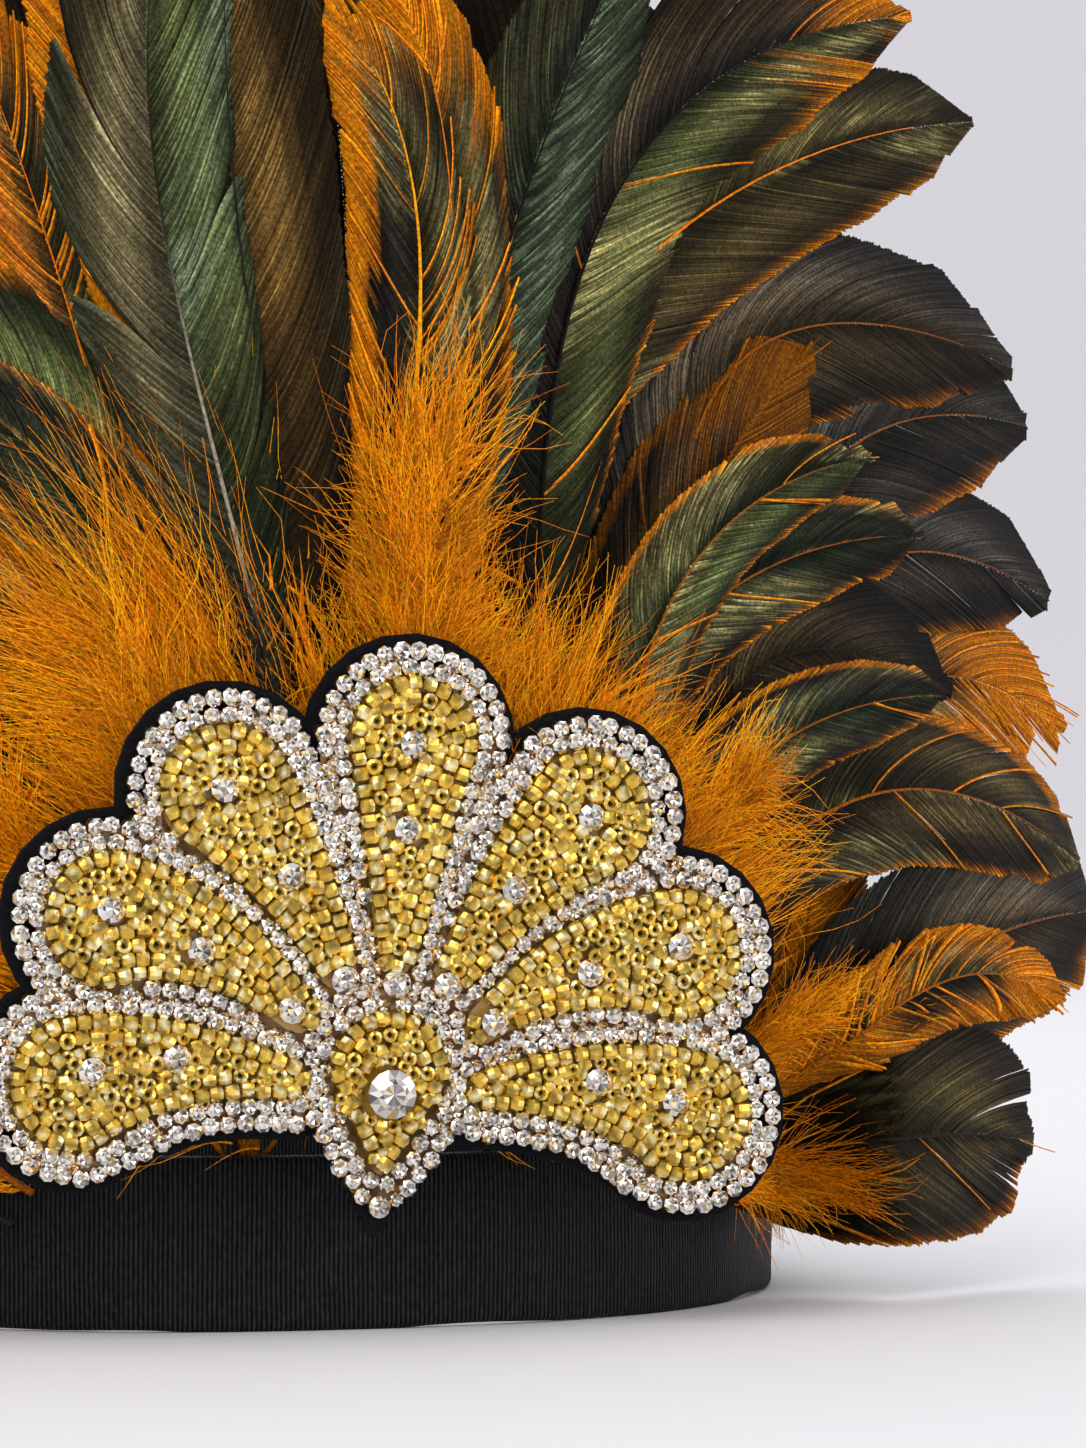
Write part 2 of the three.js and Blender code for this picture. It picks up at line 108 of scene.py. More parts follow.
# Feather tables: root across the rim, tip across and up, bow, hook, width, tier and style
PLUME_COLUMNS = ("name", "root", "tip_x", "tip_z", "bow", "hook", "width", "tier", "style", "root_z")
RIM_Z = BAND.height + FAN.rim_gap
CENTRE_ROWS = (
    ("plume_c1", -5.4, -23, 188, -9, 2.9, 25, 6, "bronze"),
    ("plume_c2", -2.8, -17, 185, -4, 2.4, 28, 5, "plain"),
    ("plume_c3", -0.2, -4, 169, 10, 3.5, 18, 4, "flame"),
    ("plume_c4", 5.4, 2, 178, 9, 3.3, 20, 3, "blaze"),
    ("tuft_top", 2.6, 7, 115, 0, 1.6, 24, 6, "tuft"),
    ("plume_1_right", 8, 42, 183, -14, 1.1, 22, 2, "ink"),
    ("plume_2_right", 13.2, 89, 176, -34, 2, 28, 1, "striped"),
    ("plume_3_right", 10.6, 102, 163, -40, 1.2, 26, 0, "sickle"),
    ("plume_4_right", 20.8, 76, 113, -19, 1.9, 15, 4, "emerald"),
    ("plume_5_right", 18.2, 87, 103, -24, 1.3, 17, 2, "forest"),
    ("plume_1_left", -8, -38, 180, 6, 1.6, 22, 2, "blaze"),
    ("plume_2_left", -18.2, -64, 134, 16, 2.1, 27, 1, "emerald"),
    ("plume_3_left", -10.6, -52, 176, 3, 2.2, 20, 0, "blaze"),
    ("plume_4_left", -13.2, -59, 124, 15, 1.3, 17, 4, "forest"),
    ("plume_5_left", -20.8, -87, 103, 24, 1.6, 17, 2, "fringe"),
)
RIM_ROWS = (
    ("plume_6", 34, 93, 82, -27, 2, 22, 0, "dusk"),
    ("plume_7", 23.4, 88, 81, -17, 1.2, 14, 4, "forest"),
    ("plume_8", 31.4, 118, 58, -26, 1.1, 22, 2, "brass"),
    ("plume_12", 28.6, 70, 128, -12, 1.5, 24, -1, "ember"),
    ("tuft_1", 15.8, 36, 95, -3, 1.6, 24, 7, "tuft"),
    ("tuft_2", 26, 58, 76, -4, 1.6, 18, 6, "tuft"),
)
REAR_ROWS = (
    ("rear_1", 41, 111, 129, -44, 2.2, 22, -2, "ash"),
    ("rear_2", 44, 115, 121, -30, 2, 23, -3, "slate"),
    ("rear_3", 47, 120, 96, -32, 2, 19, -4, "slate"),
    ("rear_4", 50, 123, 77, -26, 2, 18, -5, "fringe"),
)
CHEEK_ROWS = (
    ("plume_9", 40, 122, 51, -8, 1.3, 21, 0, "ash", 16.5),
    ("plume_10", 47, 109, 39, -12, 1.5, 14, 4, "fringe", 17),
    ("plume_11", 42.5, 105, 19.5, -5, 1, 20, 1, "ragged", 13),
    ("tuft_3", 36.4, 74, 42, -4, 1.6, 14, 7, "tuft", 19),
    ("tuft_4", 44.5, 72, 9.5, -1, 1.6, 10, 5, "tuft", 10.5),
)
BACK_ROWS = (
    ("back_left", -16, -33, 172, -3, 1.6, 26, -2, "dusk", 17),
    ("back_middle", 0, -2, 176, 2, 1.6, 28, -1, "plain", 17),
    ("back_right", 16, 30, 174, 2, 1.6, 26, -2, "dusk", 17),
)


def rows_of(rows, place, paired):
    """The rows as dicts, each with its place, and with a mirrored twin where they come in pairs."""
    listed = []
    for row in rows:
        plume = dict(zip(PLUME_COLUMNS, row))
        plume.setdefault("root_z", RIM_Z)
        plume["place"] = place
        plume["mirror"] = 1
        if not paired:
            listed.append(plume)
            continue
        for side, mirror in (("left", -1), ("right", 1)):
            listed.append({**plume, "name": f"{plume['name']}_{side}", "mirror": mirror})
    return listed


PLUMES = (rows_of(CENTRE_ROWS, "rim", False) + rows_of(RIM_ROWS, "rim", True)
          + rows_of(REAR_ROWS, "rear", True) + rows_of(CHEEK_ROWS, "face", True)
          + rows_of(BACK_ROWS, "inner", False))


def smoothstep(value, low, high):
    share = np.clip((value - low) / (high - low), 0, 1)
    return share * share * (3 - 2 * share)


def reach_from_roots(x, z, span):
    return np.hypot(np.maximum(0, np.abs(x) - span), np.maximum(0, z - BAND.height))


def layer(tier, reach):
    return tier * FAN.tier_pitch * smoothstep(reach, 0, FAN.tier_full)


def fan_place(x, z, forward):
    """The point of the fan over (x, z), that far in front of its face."""
    power = BAND.squareness
    side = np.minimum(np.abs(x) / BAND.half_width, FAN.side_limit)
    on_band = BAND.half_depth * (1 - side ** power) ** (1 / power)
    on_fan = BAND.half_depth - x * x / (2 * FAN.bow_radius)
    share = smoothstep(reach_from_roots(x, z, FAN.root_span), 0, FAN.seat_full)
    face = on_band + (on_fan - on_band) * share
    y = FAN.lean_back * np.maximum(0, z - FAN.lean_from) - face - forward
    return np.stack([x, y, z], axis=-1)


def plume_place(plume, x, z, depth):
    tier, rise = plume["tier"], z - BAND.height
    if plume["place"] == "rim":
        forward = layer(tier, reach_from_roots(x, z, FAN.brow_span)) - FAN.thickness
    elif plume["place"] == "face":
        forward = layer(tier, reach_from_roots(x, z, FAN.cheek_span)) + FAN.face_gap + FAN.quill
    elif plume["place"] == "rear":
        forward = layer(tier, rise) - FAN.thickness
    else:
        forward = layer(tier, rise) - (BAND.wall + FAN.face_gap + FAN.quill)
    return fan_place(x, z, forward + depth)


class Rib:
    """A feather's middle line in the fan's flat x and z, with points measured along it and across it."""
    STEPS = 300

    def __init__(self, plume):
        self.plume = plume
        kind = "late" if plume["place"] == "rim" and plume["tip_z"] > LATE_ABOVE else "even"
        family = plume["name"].rsplit("_", 1)[0]
        kind = "blunt" if plume["place"] in ("rear", "inner") or family in BLUNT_NAMES else kind
        self.begin, self.outline_along, self.outline_half = OUTLINES[kind]
        fuller = FULLER.get(plume["place"], 1) * FULLER.get(family, 1)
        self.width = plume["width"] * fuller
        t = np.linspace(0, 1, self.STEPS)
        raised = RAISED.get(family, 0)
        root = np.array([plume["root"], plume["root_z"] + raised], float)
        tip_z = plume["tip_z"] + raised + LONGER.get(plume["place"], 0)
        chord = np.array([plume["tip_x"], tip_z], float) - root
        right = np.array([chord[1], -chord[0]]) / np.hypot(*chord)
        hook = plume["hook"]
        peak = hook / (hook + 1)
        share = t ** hook * (1 - t) / (peak ** hook * (1 - peak))
        points = root + chord * t[:, None] + right * (plume["bow"] * share)[:, None]
        self.t, self.points = t, points
        steps = np.hypot(*np.diff(points, axis=0).T)
        self.arc = np.concatenate([[0], np.cumsum(steps)])
        self.length = self.arc[-1]
        tangent = np.gradient(points, self.arc, axis=0)
        self.tangent = tangent / np.linalg.norm(tangent, axis=1)[:, None]

    def share(self, along):
        return np.interp(along, self.arc, self.t)

    def half(self, along):
        return np.interp(self.share(along), self.outline_along, self.outline_half) * self.width / 2

    def at(self, along, across, depth):
        """Points in space, from lengths along the rib, across it to the right, and out of its face."""
        held = np.clip(along, 0, self.length)
        x, z = (np.interp(held, self.arc, self.points[:, i]) for i in (0, 1))
        tx, tz = (np.interp(held, self.arc, self.tangent[:, i]) for i in (0, 1))
        over = along - held
        flat_x = x + tx * over + tz * across
        flat_z = z + tz * over - tx * across
        points = plume_place(self.plume, flat_x, flat_z, depth)
        points[..., 0] *= self.plume["mirror"]
        points[..., 2] = np.maximum(points[..., 2], FLOOR_GAP)
        return points


class Shape:
    """Gathers points, faces and paint, and makes one joined mesh of them."""

    def __init__(self):
        self.points, self.quads, self.triangles, self.paint = [], [], [], []
        self.count = 0

    def add(self, points, paint, quads=None, triangles=None):
        points = np.asarray(points, float).reshape(-1, 3)
        paint = np.broadcast_to(np.asarray(paint, float), points.shape[:1] + (4,))
        if quads is not None:
            self.quads.append(np.asarray(quads, int).reshape(-1, 4) + self.count)
        if triangles is not None:
            self.triangles.append(np.asarray(triangles, int).reshape(-1, 3) + self.count)
        self.points.append(points)
        self.paint.append(paint)
        self.count += len(points)

    def piece(self, name, material, replaces=(), smooth=True):
        points = np.concatenate(self.points) * MM
        quads = np.concatenate(self.quads) if self.quads else np.zeros((0, 4), int)
        triangles = np.concatenate(self.triangles) if self.triangles else np.zeros((0, 3), int)
        mesh = bpy.data.meshes.new(name)
        mesh.vertices.add(len(points))
        mesh.vertices.foreach_set("co", points.ravel())
        corners = np.concatenate([quads.ravel(), triangles.ravel()])
        mesh.loops.add(len(corners))
        mesh.loops.foreach_set("vertex_index", corners)
        sizes = np.concatenate([np.full(len(quads), 4), np.full(len(triangles), 3)])
        mesh.polygons.add(len(sizes))
        mesh.polygons.foreach_set("loop_start", np.concatenate([[0], np.cumsum(sizes)[:-1]]))
        mesh.polygons.foreach_set("use_smooth", np.full(len(sizes), smooth))
        paint = mesh.attributes.new("paint", "FLOAT_COLOR", "POINT")
        paint.data.foreach_set("color", np.concatenate(self.paint).ravel())
        mesh.update(calc_edges=True)
        mesh.validate()
        obj = bpy.data.objects.new(name, mesh)
        bpy.context.scene.collection.objects.link(obj)
        mesh.materials.append(material)
        if replaces:
            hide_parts(*replaces)
        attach(obj, "root")
        return obj


def grid_quads(count, stations, lanes):
    """Quads of that many strips, each a grid of stations by lanes of points."""
    strip = np.arange(count)[:, None, None] * stations * lanes
    station = np.arange(stations - 1)[None, :, None] * lanes
    lane = np.arange(lanes - 1)[None, None, :]
    first = strip + station + lane
    return np.stack([first, first + 1, first + lanes + 1, first + lanes], axis=-1).reshape(-1, 4)


def closed_quads(columns, rows):
    """Quads of a ring of columns, each a closed loop of rows of points."""
    i, j = np.meshgrid(np.arange(columns), np.arange(rows), indexing="ij")
    after, above = (i + 1) % columns, (j + 1) % rows
    corners = [i * rows + j, after * rows + j, after * rows + above, i * rows + above]
    return np.stack(corners, axis=-1).reshape(-1, 4)


FORWARD = np.array([0.0, -1.0, 0.05])
TINY = 1e-9
# Strips laid abreast: how much of their own lie they keep, and how far they cover the next
ABREAST_LIE = 0.3
ABREAST_COVER = 0.75


def unit(vectors):
    return vectors / np.maximum(np.linalg.norm(vectors, axis=-1, keepdims=True), TINY)


def dot(a, b):
    return np.sum(a * b, axis=-1, keepdims=True)


def add_ribbons(shape, paths, widths, paint, tilt, lanes=(1, 1), abreast=False):
    """Flat strips along paths, tilted out of their face by a share of their width, each edge with its own
    painted shade.
    """
    count, stations = paths.shape[:2]
    tangent = np.gradient(paths, axis=1)
    across = unit(np.cross(tangent, FORWARD))
    lift = FORWARD
    if abreast:
        beside = np.gradient(paths, axis=0)
        beside = beside * np.sign(dot(beside, across))
        beside = beside - unit(tangent) * dot(beside, unit(tangent))
        spacing = np.linalg.norm(beside, axis=-1)
        across = unit(unit(beside) + across * ABREAST_LIE)
        lift = unit(np.cross(across, tangent))
        lift = lift * np.sign(dot(lift, FORWARD))
        widths = np.maximum(widths, np.minimum(spacing, 2 * widths) * VANE.overlap * ABREAST_COVER)
    reach = (across + lift * tilt[:, None, None]) * widths[..., None] / 2
    points = np.stack([paths - reach, paths + reach], axis=2)
    paint = np.repeat(paint[:, :, None, :], 2, axis=2)
    # Painted shade: where the lanes differ, one edge of each strip is lit brighter and the other darkened as
    # shadow
    paint[..., :3] *= np.array(lanes)[None, None, :, None]
    shape.add(points, paint.reshape(-1, 4), grid_quads(count, stations, 2))


def add_tube(shape, path, radii, paint, sides=6):
    tangent = np.gradient(path, axis=0)
    across = unit(np.cross(tangent, FORWARD))
    lift = unit(np.cross(across, tangent))
    turn = np.linspace(0, 2 * math.pi, sides + 1)
    ring = across[:, None] * np.cos(turn)[None, :, None] + lift[:, None] * np.sin(turn)[None, :, None]
    points = path[:, None] + ring * radii[:, None, None]
    shape.add(points, np.repeat(paint[:, None], sides + 1, axis=1).reshape(-1, 4),
              grid_quads(1, len(path), sides + 1))


def mix(a, b, share):
    return a + (b - a) * share[..., None]


def clumps(rng, count, smallest, largest):
    """A clump number for each of a row of barbs, in runs of chance sizes."""
    sizes = rng.integers(smallest, largest, count)
    return np.repeat(np.arange(count), sizes)[:count]


LAST_CELL = 1.001


def noise_field(rng, shape, cells):
    """Smooth chance values from 0 to 1 over a grid of barbs and stations."""
    coarse = rng.random((max(2, shape[0] // cells[0] + 2), cells[1] + 1))
    rows = np.linspace(0, coarse.shape[0] - LAST_CELL, shape[0])
    columns = np.linspace(0, coarse.shape[1] - LAST_CELL, shape[1])
    r, c = rows.astype(int)[:, None], columns.astype(int)[None, :]
    fr, fc = rows[:, None] - r, columns[None, :] - c
    top = coarse[r, c] * (1 - fc) + coarse[r, c + 1] * fc
    low = coarse[r + 1, c] * (1 - fc) + coarse[r + 1, c + 1] * fc
    return top * (1 - fr) + low * fr


# Barbs of a blade: spacing, points, angles off the rib, bend, camber, curl, overlap and taper
VANE = Sizes(pitch=0.45, stations=8, root_deg=36, tip_deg=11, turn_power=1.5, sweep=0.45, camber=1.9,
             curl=1.0, overlap=2.0, jitter=0.06, least=0.2, end_gap=0.5, taper=0.1, end_taper=0.3,
             end_power=12, tilt=(0.2, 0.05))
SETTLE_ROUNDS = 24
SETTLE = 0.3
# Clumps of barbs: how many, how long, how far they close up, and how far they shift and lift
CLUMP = Sizes(sizes=(14, 60), lengths=(0.97, 1.02), barb_lengths=(0.98, 1.01), pull=(-0.3, 0.8), shift=0.6,
              lift=0.25, barb_lift=0.03)
# Loose barbs: how far they stray and lift, how wide they are, and how orange
LOOSE = Sizes(shift=3.0, lift=(0.2, 1.5), width=0.238, orange=0.85)
# Shades of a blade: from rib to edge, in patches, towards its foot, in clouds and from barb to barb, and the
# painted shadow along the partings between clumps
TONE = Sizes(fade_power=1.3, least=0.2, patch=0.5, patch_cells=(18, 2), clumps=(0.5, 1.4), foot=0.4,
             foot_span=(0.35, 0.7), cloud=0.5, cloud_cells=(4, 4), stripes=(0.55, 1.45), parting=0.8,
             parting_span=(0.1, 0.4))
# Sheen of a blade: where its middle lies, how far it spreads, and how strong and grainy it is
SHEEN = Sizes(across=(0.35, 0.6), along=(0.66, 0.84), breadth=0.22, length=0.16, strength=3.6, least=0.3,
              cells=(30, 1), grain=(0.6, 1.4))
# Sparks: the zones that have them, the dashes of each barb, where along the blade, and their gloss
SPARK = Sizes(zone_cells=(45, 2), zone_span=(0.45, 0.8), dash_cells=(1, 9), dash_span=(0.5, 0.8),
              stripe=0.15, dash=0.75, along=(0.3, 0.6), gloss=0.5)
# Orange of a blade: how ragged its limits are, how they sway and blend, where the edge ends, and its shades
DYE = Sizes(clump_ragged=0.10, barb_ragged=0.07, sway_cells=(40, 1), edge_ragged=0.6, edge_sway=0.25,
            sway_middle=0.5, narrow=5, blend=0.05, edge_ends=(0.72, 0.86), wide=2.5, tip_ragged=0.25,
            foot_ragged=0.5, foot_below=0.12, foot_above=0.03, shades=(0.5, 1.05))
# Painted highlight and shadow on the two edges of a barb, the dark edge as the shadow of the gap beside it, and
# styles with dull orange or with few sparks on their left
PAINTED_LANE_SHADE = (1.75, 0.22)
DULL_DYE = {"ember": 0.3, "fringe": 0.85}
LEFT_GLINTS = {"striped": 0.1, "bronze": 0.25, "ink": 0.3}


def vane_paint(rng, kind, hand, t, s, group, share, loose):
    """Colour and gloss of a row of barbs: shades, sheen, sparks, and orange at the edge, tip and foot."""
    style = STYLES[kind]
    count, groups = len(group), group.max() + 1
    parts = (hand + "_in", hand + "_out", "edge_" + hand)
    near, far, orange_edge = (np.array(style[part]) for part in parts)
    paint = mix(near, far, np.broadcast_to(s ** TONE.fade_power, t.shape))
    patch = TONE.patch * noise_field(rng, t.shape, TONE.patch_cells)
    tone = TONE.least + patch * rng.uniform(*TONE.clumps, groups)[group][:, None]
    tone = tone * (TONE.foot + (1 - TONE.foot) * smoothstep(t, *TONE.foot_span))
    bright_at, bright_along = rng.uniform(*SHEEN.across), rng.uniform(*SHEEN.along)
    off_across, off_along = (s - bright_at) / SHEEN.breadth, (t - bright_along) / SHEEN.length
    sheen = SHEEN.strength * np.exp(-off_across ** 2 - off_along ** 2)
    tone = tone * (TONE.cloud + noise_field(rng, t.shape, TONE.cloud_cells))
    # Painted shadow: the first barbs of each clump are darkened, as the shade in a parting
    parting = np.concatenate([[False], group[1:] != group[:-1]])[:, None]
    sheen = sheen * (SHEEN.least + (1 - SHEEN.least) * noise_field(rng, t.shape, SHEEN.cells))
    tone = tone + sheen * rng.uniform(*SHEEN.grain, t.shape)
    tone = tone * (1 - TONE.parting * parting * smoothstep(s, *TONE.parting_span))
    stripe = rng.uniform(*TONE.stripes, (count, 1))
    paint = paint * (tone * stripe)[..., None]
    zone = smoothstep(noise_field(rng, t.shape, SPARK.zone_cells), *SPARK.zone_span)
    zone = zone * (LEFT_GLINTS.get(kind, 1) if hand == "left" else 1)
    dash = smoothstep(noise_field(rng, t.shape, SPARK.dash_cells), *SPARK.dash_span)
    spark = zone * (SPARK.stripe * stripe + SPARK.dash * dash) * style["glints"]
    spark = np.clip(spark * smoothstep(t, *SPARK.along), 0, 1)
    paint = mix(paint, np.array(style["glint"]), spark)
    ragged = rng.normal(0, DYE.clump_ragged, groups)[group][:, None]
    ragged = ragged + rng.normal(0, DYE.barb_ragged, (count, 1))
    sway = DYE.edge_sway * (noise_field(rng, t.shape, DYE.sway_cells) - DYE.sway_middle)
    sway = (ragged * DYE.edge_ragged + sway) * min(1, orange_edge * DYE.narrow)
    inner = 1 - orange_edge
    edge = smoothstep(s + sway, inner - DYE.blend, inner + DYE.blend) * (orange_edge > 0)
    ends = 1 - smoothstep(share, *DYE.edge_ends)
    edge = edge * np.maximum(ends, min(1, orange_edge * DYE.wide))[:, None]
    below = 1 - style["tip"]
    tip = smoothstep(t + ragged * DYE.tip_ragged, below - DYE.blend, below + DYE.blend)
    tip = tip * (style["tip"] > 0)
    foot = style["down"]
    low = 1 - smoothstep(t + ragged * DYE.foot_ragged, foot - DYE.foot_below, foot + DYE.foot_above)
    orange = np.maximum(np.maximum(edge, tip), np.maximum(low, loose * LOOSE.orange))
    orange = np.clip(orange, 0, 1)
    dye = mix(np.array(ORANGE), np.array(AMBER), rng.random(t.shape))
    dye = dye * rng.uniform(*DYE.shades, (count, 1, 1)) * DULL_DYE.get(kind, 1)
    gloss = (1 - orange) * (SPARK.gloss + (1 - SPARK.gloss) * spark)
    return np.concatenate([mix(paint, dye, orange), gloss[..., None]], axis=-1)


def add_vane(shape, rib, side, rng):
    """One side of a feather's blade: a row of barbs that lie close, with a few partings at the edge."""
    kind, hand = rib.plume["style"], "left" if rib.plume["mirror"] * side < 0 else "right"
    style = STYLES[kind]
    count = int(rib.length * (1 - rib.begin) / VANE.pitch)
    share = np.linspace(0, 1, count)
    root = rib.length * (rib.begin + (1 - rib.begin) * share) + rng.normal(0, VANE.jitter, count)
    swing = (VANE.tip_deg - VANE.root_deg) * share ** VANE.turn_power
    angle = np.radians(VANE.root_deg + swing)
    group = clumps(rng, count, *CLUMP.sizes)
    groups = group.max() + 1
    length = rng.uniform(*CLUMP.lengths, groups)[group] * rng.uniform(*CLUMP.barb_lengths, count)
    run = np.zeros(count)
    for _ in range(SETTLE_ROUNDS):
        width = np.maximum(rib.half(np.minimum(root + run, rib.length)), VANE.least) * length
        width = np.minimum(width, (rib.length - root + VANE.end_gap) * np.tan(angle))
        run = run * (1 - SETTLE) + SETTLE * width / np.tan(angle)
    s = np.linspace(0, 1, VANE.stations)[None, :]
    middle = np.array([root[group == g].mean() for g in range(groups)])[group]
    pull = (np.maximum(0, rng.uniform(*CLUMP.pull, groups))[group] * style["split"])[:, None]
    bent = s * (1 - VANE.sweep) + VANE.sweep * s * s
    along = root[:, None] + run[:, None] * bent + (middle - root)[:, None] * pull * s ** 3
    along += rng.normal(0, CLUMP.shift, groups)[group][:, None] * style["split"] * s ** 3
    loose = (rng.random(count) < style["loose"])[:, None]
    along += loose * rng.normal(0, LOOSE.shift, (count, 1)) * s ** 2
    across = side * width[:, None] * s
    fullness = (width / (rib.width / 2))[:, None]
    depth = VANE.camber * fullness * (1 - s ** 2) - VANE.curl * fullness * s ** 3
    depth = depth + rng.normal(0, CLUMP.barb_lift, (count, 1))
    depth = depth + rng.normal(0, CLUMP.lift, groups)[group][:, None] * s ** 2
    depth = depth + loose * rng.uniform(*LOOSE.lift, (count, 1)) * s
    taper = 1 - VANE.taper * s ** 2 - VANE.end_taper * s ** VANE.end_power
    widths = VANE.pitch * np.sin(angle)[:, None] * VANE.overlap * taper
    widths = np.where(loose, np.minimum(widths, LOOSE.width), widths)
    t = rib.share(np.clip(along, 0, rib.length))
    paint = vane_paint(rng, kind, hand, t, s, group, share, loose)
    tilt = side * rng.normal(*VANE.tilt, count)
    add_ribbons(shape, rib.at(along, across, depth), widths, paint, tilt, PAINTED_LANE_SHADE[::side], True)


# Ribs: points, the stretch that shows, how proud they stand, their radius, gloss and pale stretch
RIB = Sizes(points=40, span=(0.02, 0.93), proud=0.45, radius=0.50, thinning=0.49, gloss=0.3,
            pale_from=(0.4, 0.46), pale_to=(0.55, 0.72))
PALE_RIBS = {"bronze": 0.8}


def add_rib(shape, rib):
    style = STYLES[rib.plume["style"]]
    t = np.linspace(*RIB.span, RIB.points)
    along = t * rib.length
    depth = VANE.camber * rib.half(along) / (rib.width / 2) + RIB.proud
    radii = style["rib_size"] * (RIB.radius - RIB.thinning * t)
    pale = smoothstep(t, *RIB.pale_from) * (1 - smoothstep(t, *RIB.pale_to))
    paint = mix(np.array(style["rib"]), np.array(HORN), pale * PALE_RIBS.get(rib.plume["style"], 0))
    paint = np.concatenate([paint, np.full((len(t), 1), RIB.gloss)], axis=1)
    add_tube(shape, rib.at(along, np.zeros(len(t)), depth), radii, paint)


# Strands of down: points, width, taper, shades and tilt, with a share of broad short ones that fill the gaps
STRAND = Sizes(points=7, width=0.17, widths=(0.6, 1.3), foot=1.05, taper=0.8, tilt=0.4, lengths=(0.7, 1.15),
               locks=(0.34, 1.16), shades=(0.7, 1.2), foot_shade=1.16, tip_shade=0.32, fill=0.3,
               fill_width=0.75, fill_foot=0.08, fill_shade=0.65, curl=0.22, curl_turns=(3, 9),
               wave_turns=(4, 9), phase=6)
# Down of a rib: its locks, where they start, their spread and bend, its strays, waves and lift
DOWN = Sizes(locks=(8, 46), root_jitter=0.025, roots=(0.01, 0.97), lock_lengths=(0.5, 1), fill_length=0.55,
             least_deg=2, wander=3.5, lock_bend=0.4, bend=0.2, stray=0.12, stray_length=1.05,
             stray_wander=15, stray_bend=2.5, wave=0.6, start=0.9, lock_rise=0.9, rise=0.4, foot_depth=0.5,
             rise_power=1.3, fill_depth=0.7)
# Down round the motif: its locks, their directions in degrees, starts, lengths, lean and stand-off
FRINGE = Sizes(count=4600, locks=(6, 30), centre=34.3, span=(-100, 78), right=(12, 62), right_share=0.24,
               valley=(-33, -9), valley_from=0.68, jitter=2.2, starts=(37, 47), start_jitter=1.5,
               lengths=(11, 27), fill_length=0.6, valley_length=1.75, lock_lean=16, valley_lean=0.6, lean=6,
               lean_foot=0.4, lean_tip=0.9, valley_turn=13, wave=0.3, forward=6.5, lock_forward=(0, 3),
               tip_forward=(0, 4), fill_depth=1.2)
# Strands that fall over the band: their count and points, places, fall, stand-off, widths and colours
WISP = Sizes(count=70, points=8, left_share=0.65, left=(-40, -13), right=(11, 26), reach=(5, 14),
             fall=(1, 7), top=(23, 29.5), fall_power=1.6, wave=0.5, wave_turns=(3, 7), forward=1.5,
             bulge=(0.4, 2.2), widths=(0.16, 0.32), foot=1.05, taper=0.9, green_share=0.3, shades=(0.6, 1),
             tilt=0.3)


def curls(rng, count, s):
    """A soft curl of its own for each strand, as a change of heading along it."""
    size = rng.normal(0, STRAND.curl, (count, 1))
    turns = rng.uniform(*STRAND.curl_turns, (count, 1))
    return size * np.sin(s * turns + rng.uniform(0, STRAND.phase, (count, 1)))


def add_strands(shape, rng, paths, s, group, fill):
    """Strands of down along paths, shaded lock by lock."""
    count, groups = len(group), group.max() + 1
    widths = STRAND.width * rng.uniform(*STRAND.widths, (count, 1)) * (STRAND.foot - STRAND.taper * s)
    broad = STRAND.fill_width * np.sin(math.pi * np.clip(STRAND.fill_foot + s, 0, 1))
    widths = np.where(fill, broad, widths)
    shade = rng.uniform(*STRAND.locks, groups)[group][:, None] * rng.uniform(*STRAND.shades, (count, 1))
    shade = shade * (STRAND.foot_shade + STRAND.tip_shade * s)
    shade = np.where(fill, shade * STRAND.fill_shade, shade)
    paint = mix(np.array(ORANGE), np.array(AMBER), np.broadcast_to(rng.random((count, 1)), shade.shape))
    paint = np.minimum(paint * shade[..., None], 1)
    paint = np.concatenate([paint, np.zeros(shade.shape + (1,))], axis=-1)
    add_ribbons(shape, paths, widths, paint, rng.normal(0, STRAND.tilt, count))


def run_along(length, part):
    """How far strands have come at each of their points, from their headings' sine or cosine there."""
    return length * np.cumsum(part, axis=1) / STRAND.points


def add_down(shape, rib, rng, count, first, last, longest, spread, lift, outward=0.5, lean=0):
    """Loose strands off the lower rib, in flowing locks over a soft broad filling."""
    s = np.linspace(0, 1, STRAND.points)[None, :]
    group = clumps(rng, count, *DOWN.locks)
    groups = group.max() + 1
    t = (first + (last - first) * rng.random(groups))[group] + rng.normal(0, DOWN.root_jitter, count)
    side = np.where(rng.random(groups)[group] < outward, 1, -1)[:, None]
    root = np.clip(t, *DOWN.roots)[:, None] * rib.length
    stray = rng.random(count) < DOWN.stray
    length = longest * rng.uniform(*DOWN.lock_lengths, groups)[group]
    length = length * rng.uniform(*STRAND.lengths, count) * np.where(stray, DOWN.stray_length, 1)
    fill = (rng.random(count) < STRAND.fill)[:, None]
    length = length[:, None] * np.where(fill, DOWN.fill_length, 1)
    wander = np.where(stray, DOWN.stray_wander, DOWN.wander)
    degrees = rng.uniform(DOWN.least_deg, spread, groups)[group] + rng.normal(0, 1, count) * wander
    bend = rng.normal(0, DOWN.lock_bend, groups)[group]
    bend = bend + rng.normal(0, DOWN.bend, count) * np.where(stray, DOWN.stray_bend, 1)
    turn = side * (np.radians(degrees)[:, None] + bend[:, None] * s)
    turn = turn + math.radians(lean) + curls(rng, count, s)
    wave, turns = rng.normal(0, DOWN.wave, (count, 1)), rng.uniform(*STRAND.wave_turns, (count, 1))
    wave = wave * np.sin(s * turns + rng.uniform(0, STRAND.phase, (count, 1)))
    start = rng.normal(0, DOWN.start, (count, 1))
    along = root + run_along(length, np.cos(turn))
    across = run_along(length, np.sin(turn)) + wave * s + start * (1 - s)
    rise = rng.normal(lift, DOWN.lock_rise, groups)[group][:, None] + rng.normal(0, DOWN.rise, (count, 1))
    depth = DOWN.foot_depth + rise * s ** DOWN.rise_power - np.where(fill, DOWN.fill_depth, 0)
    add_strands(shape, rng, rib.at(along, across, depth), s, group, fill)


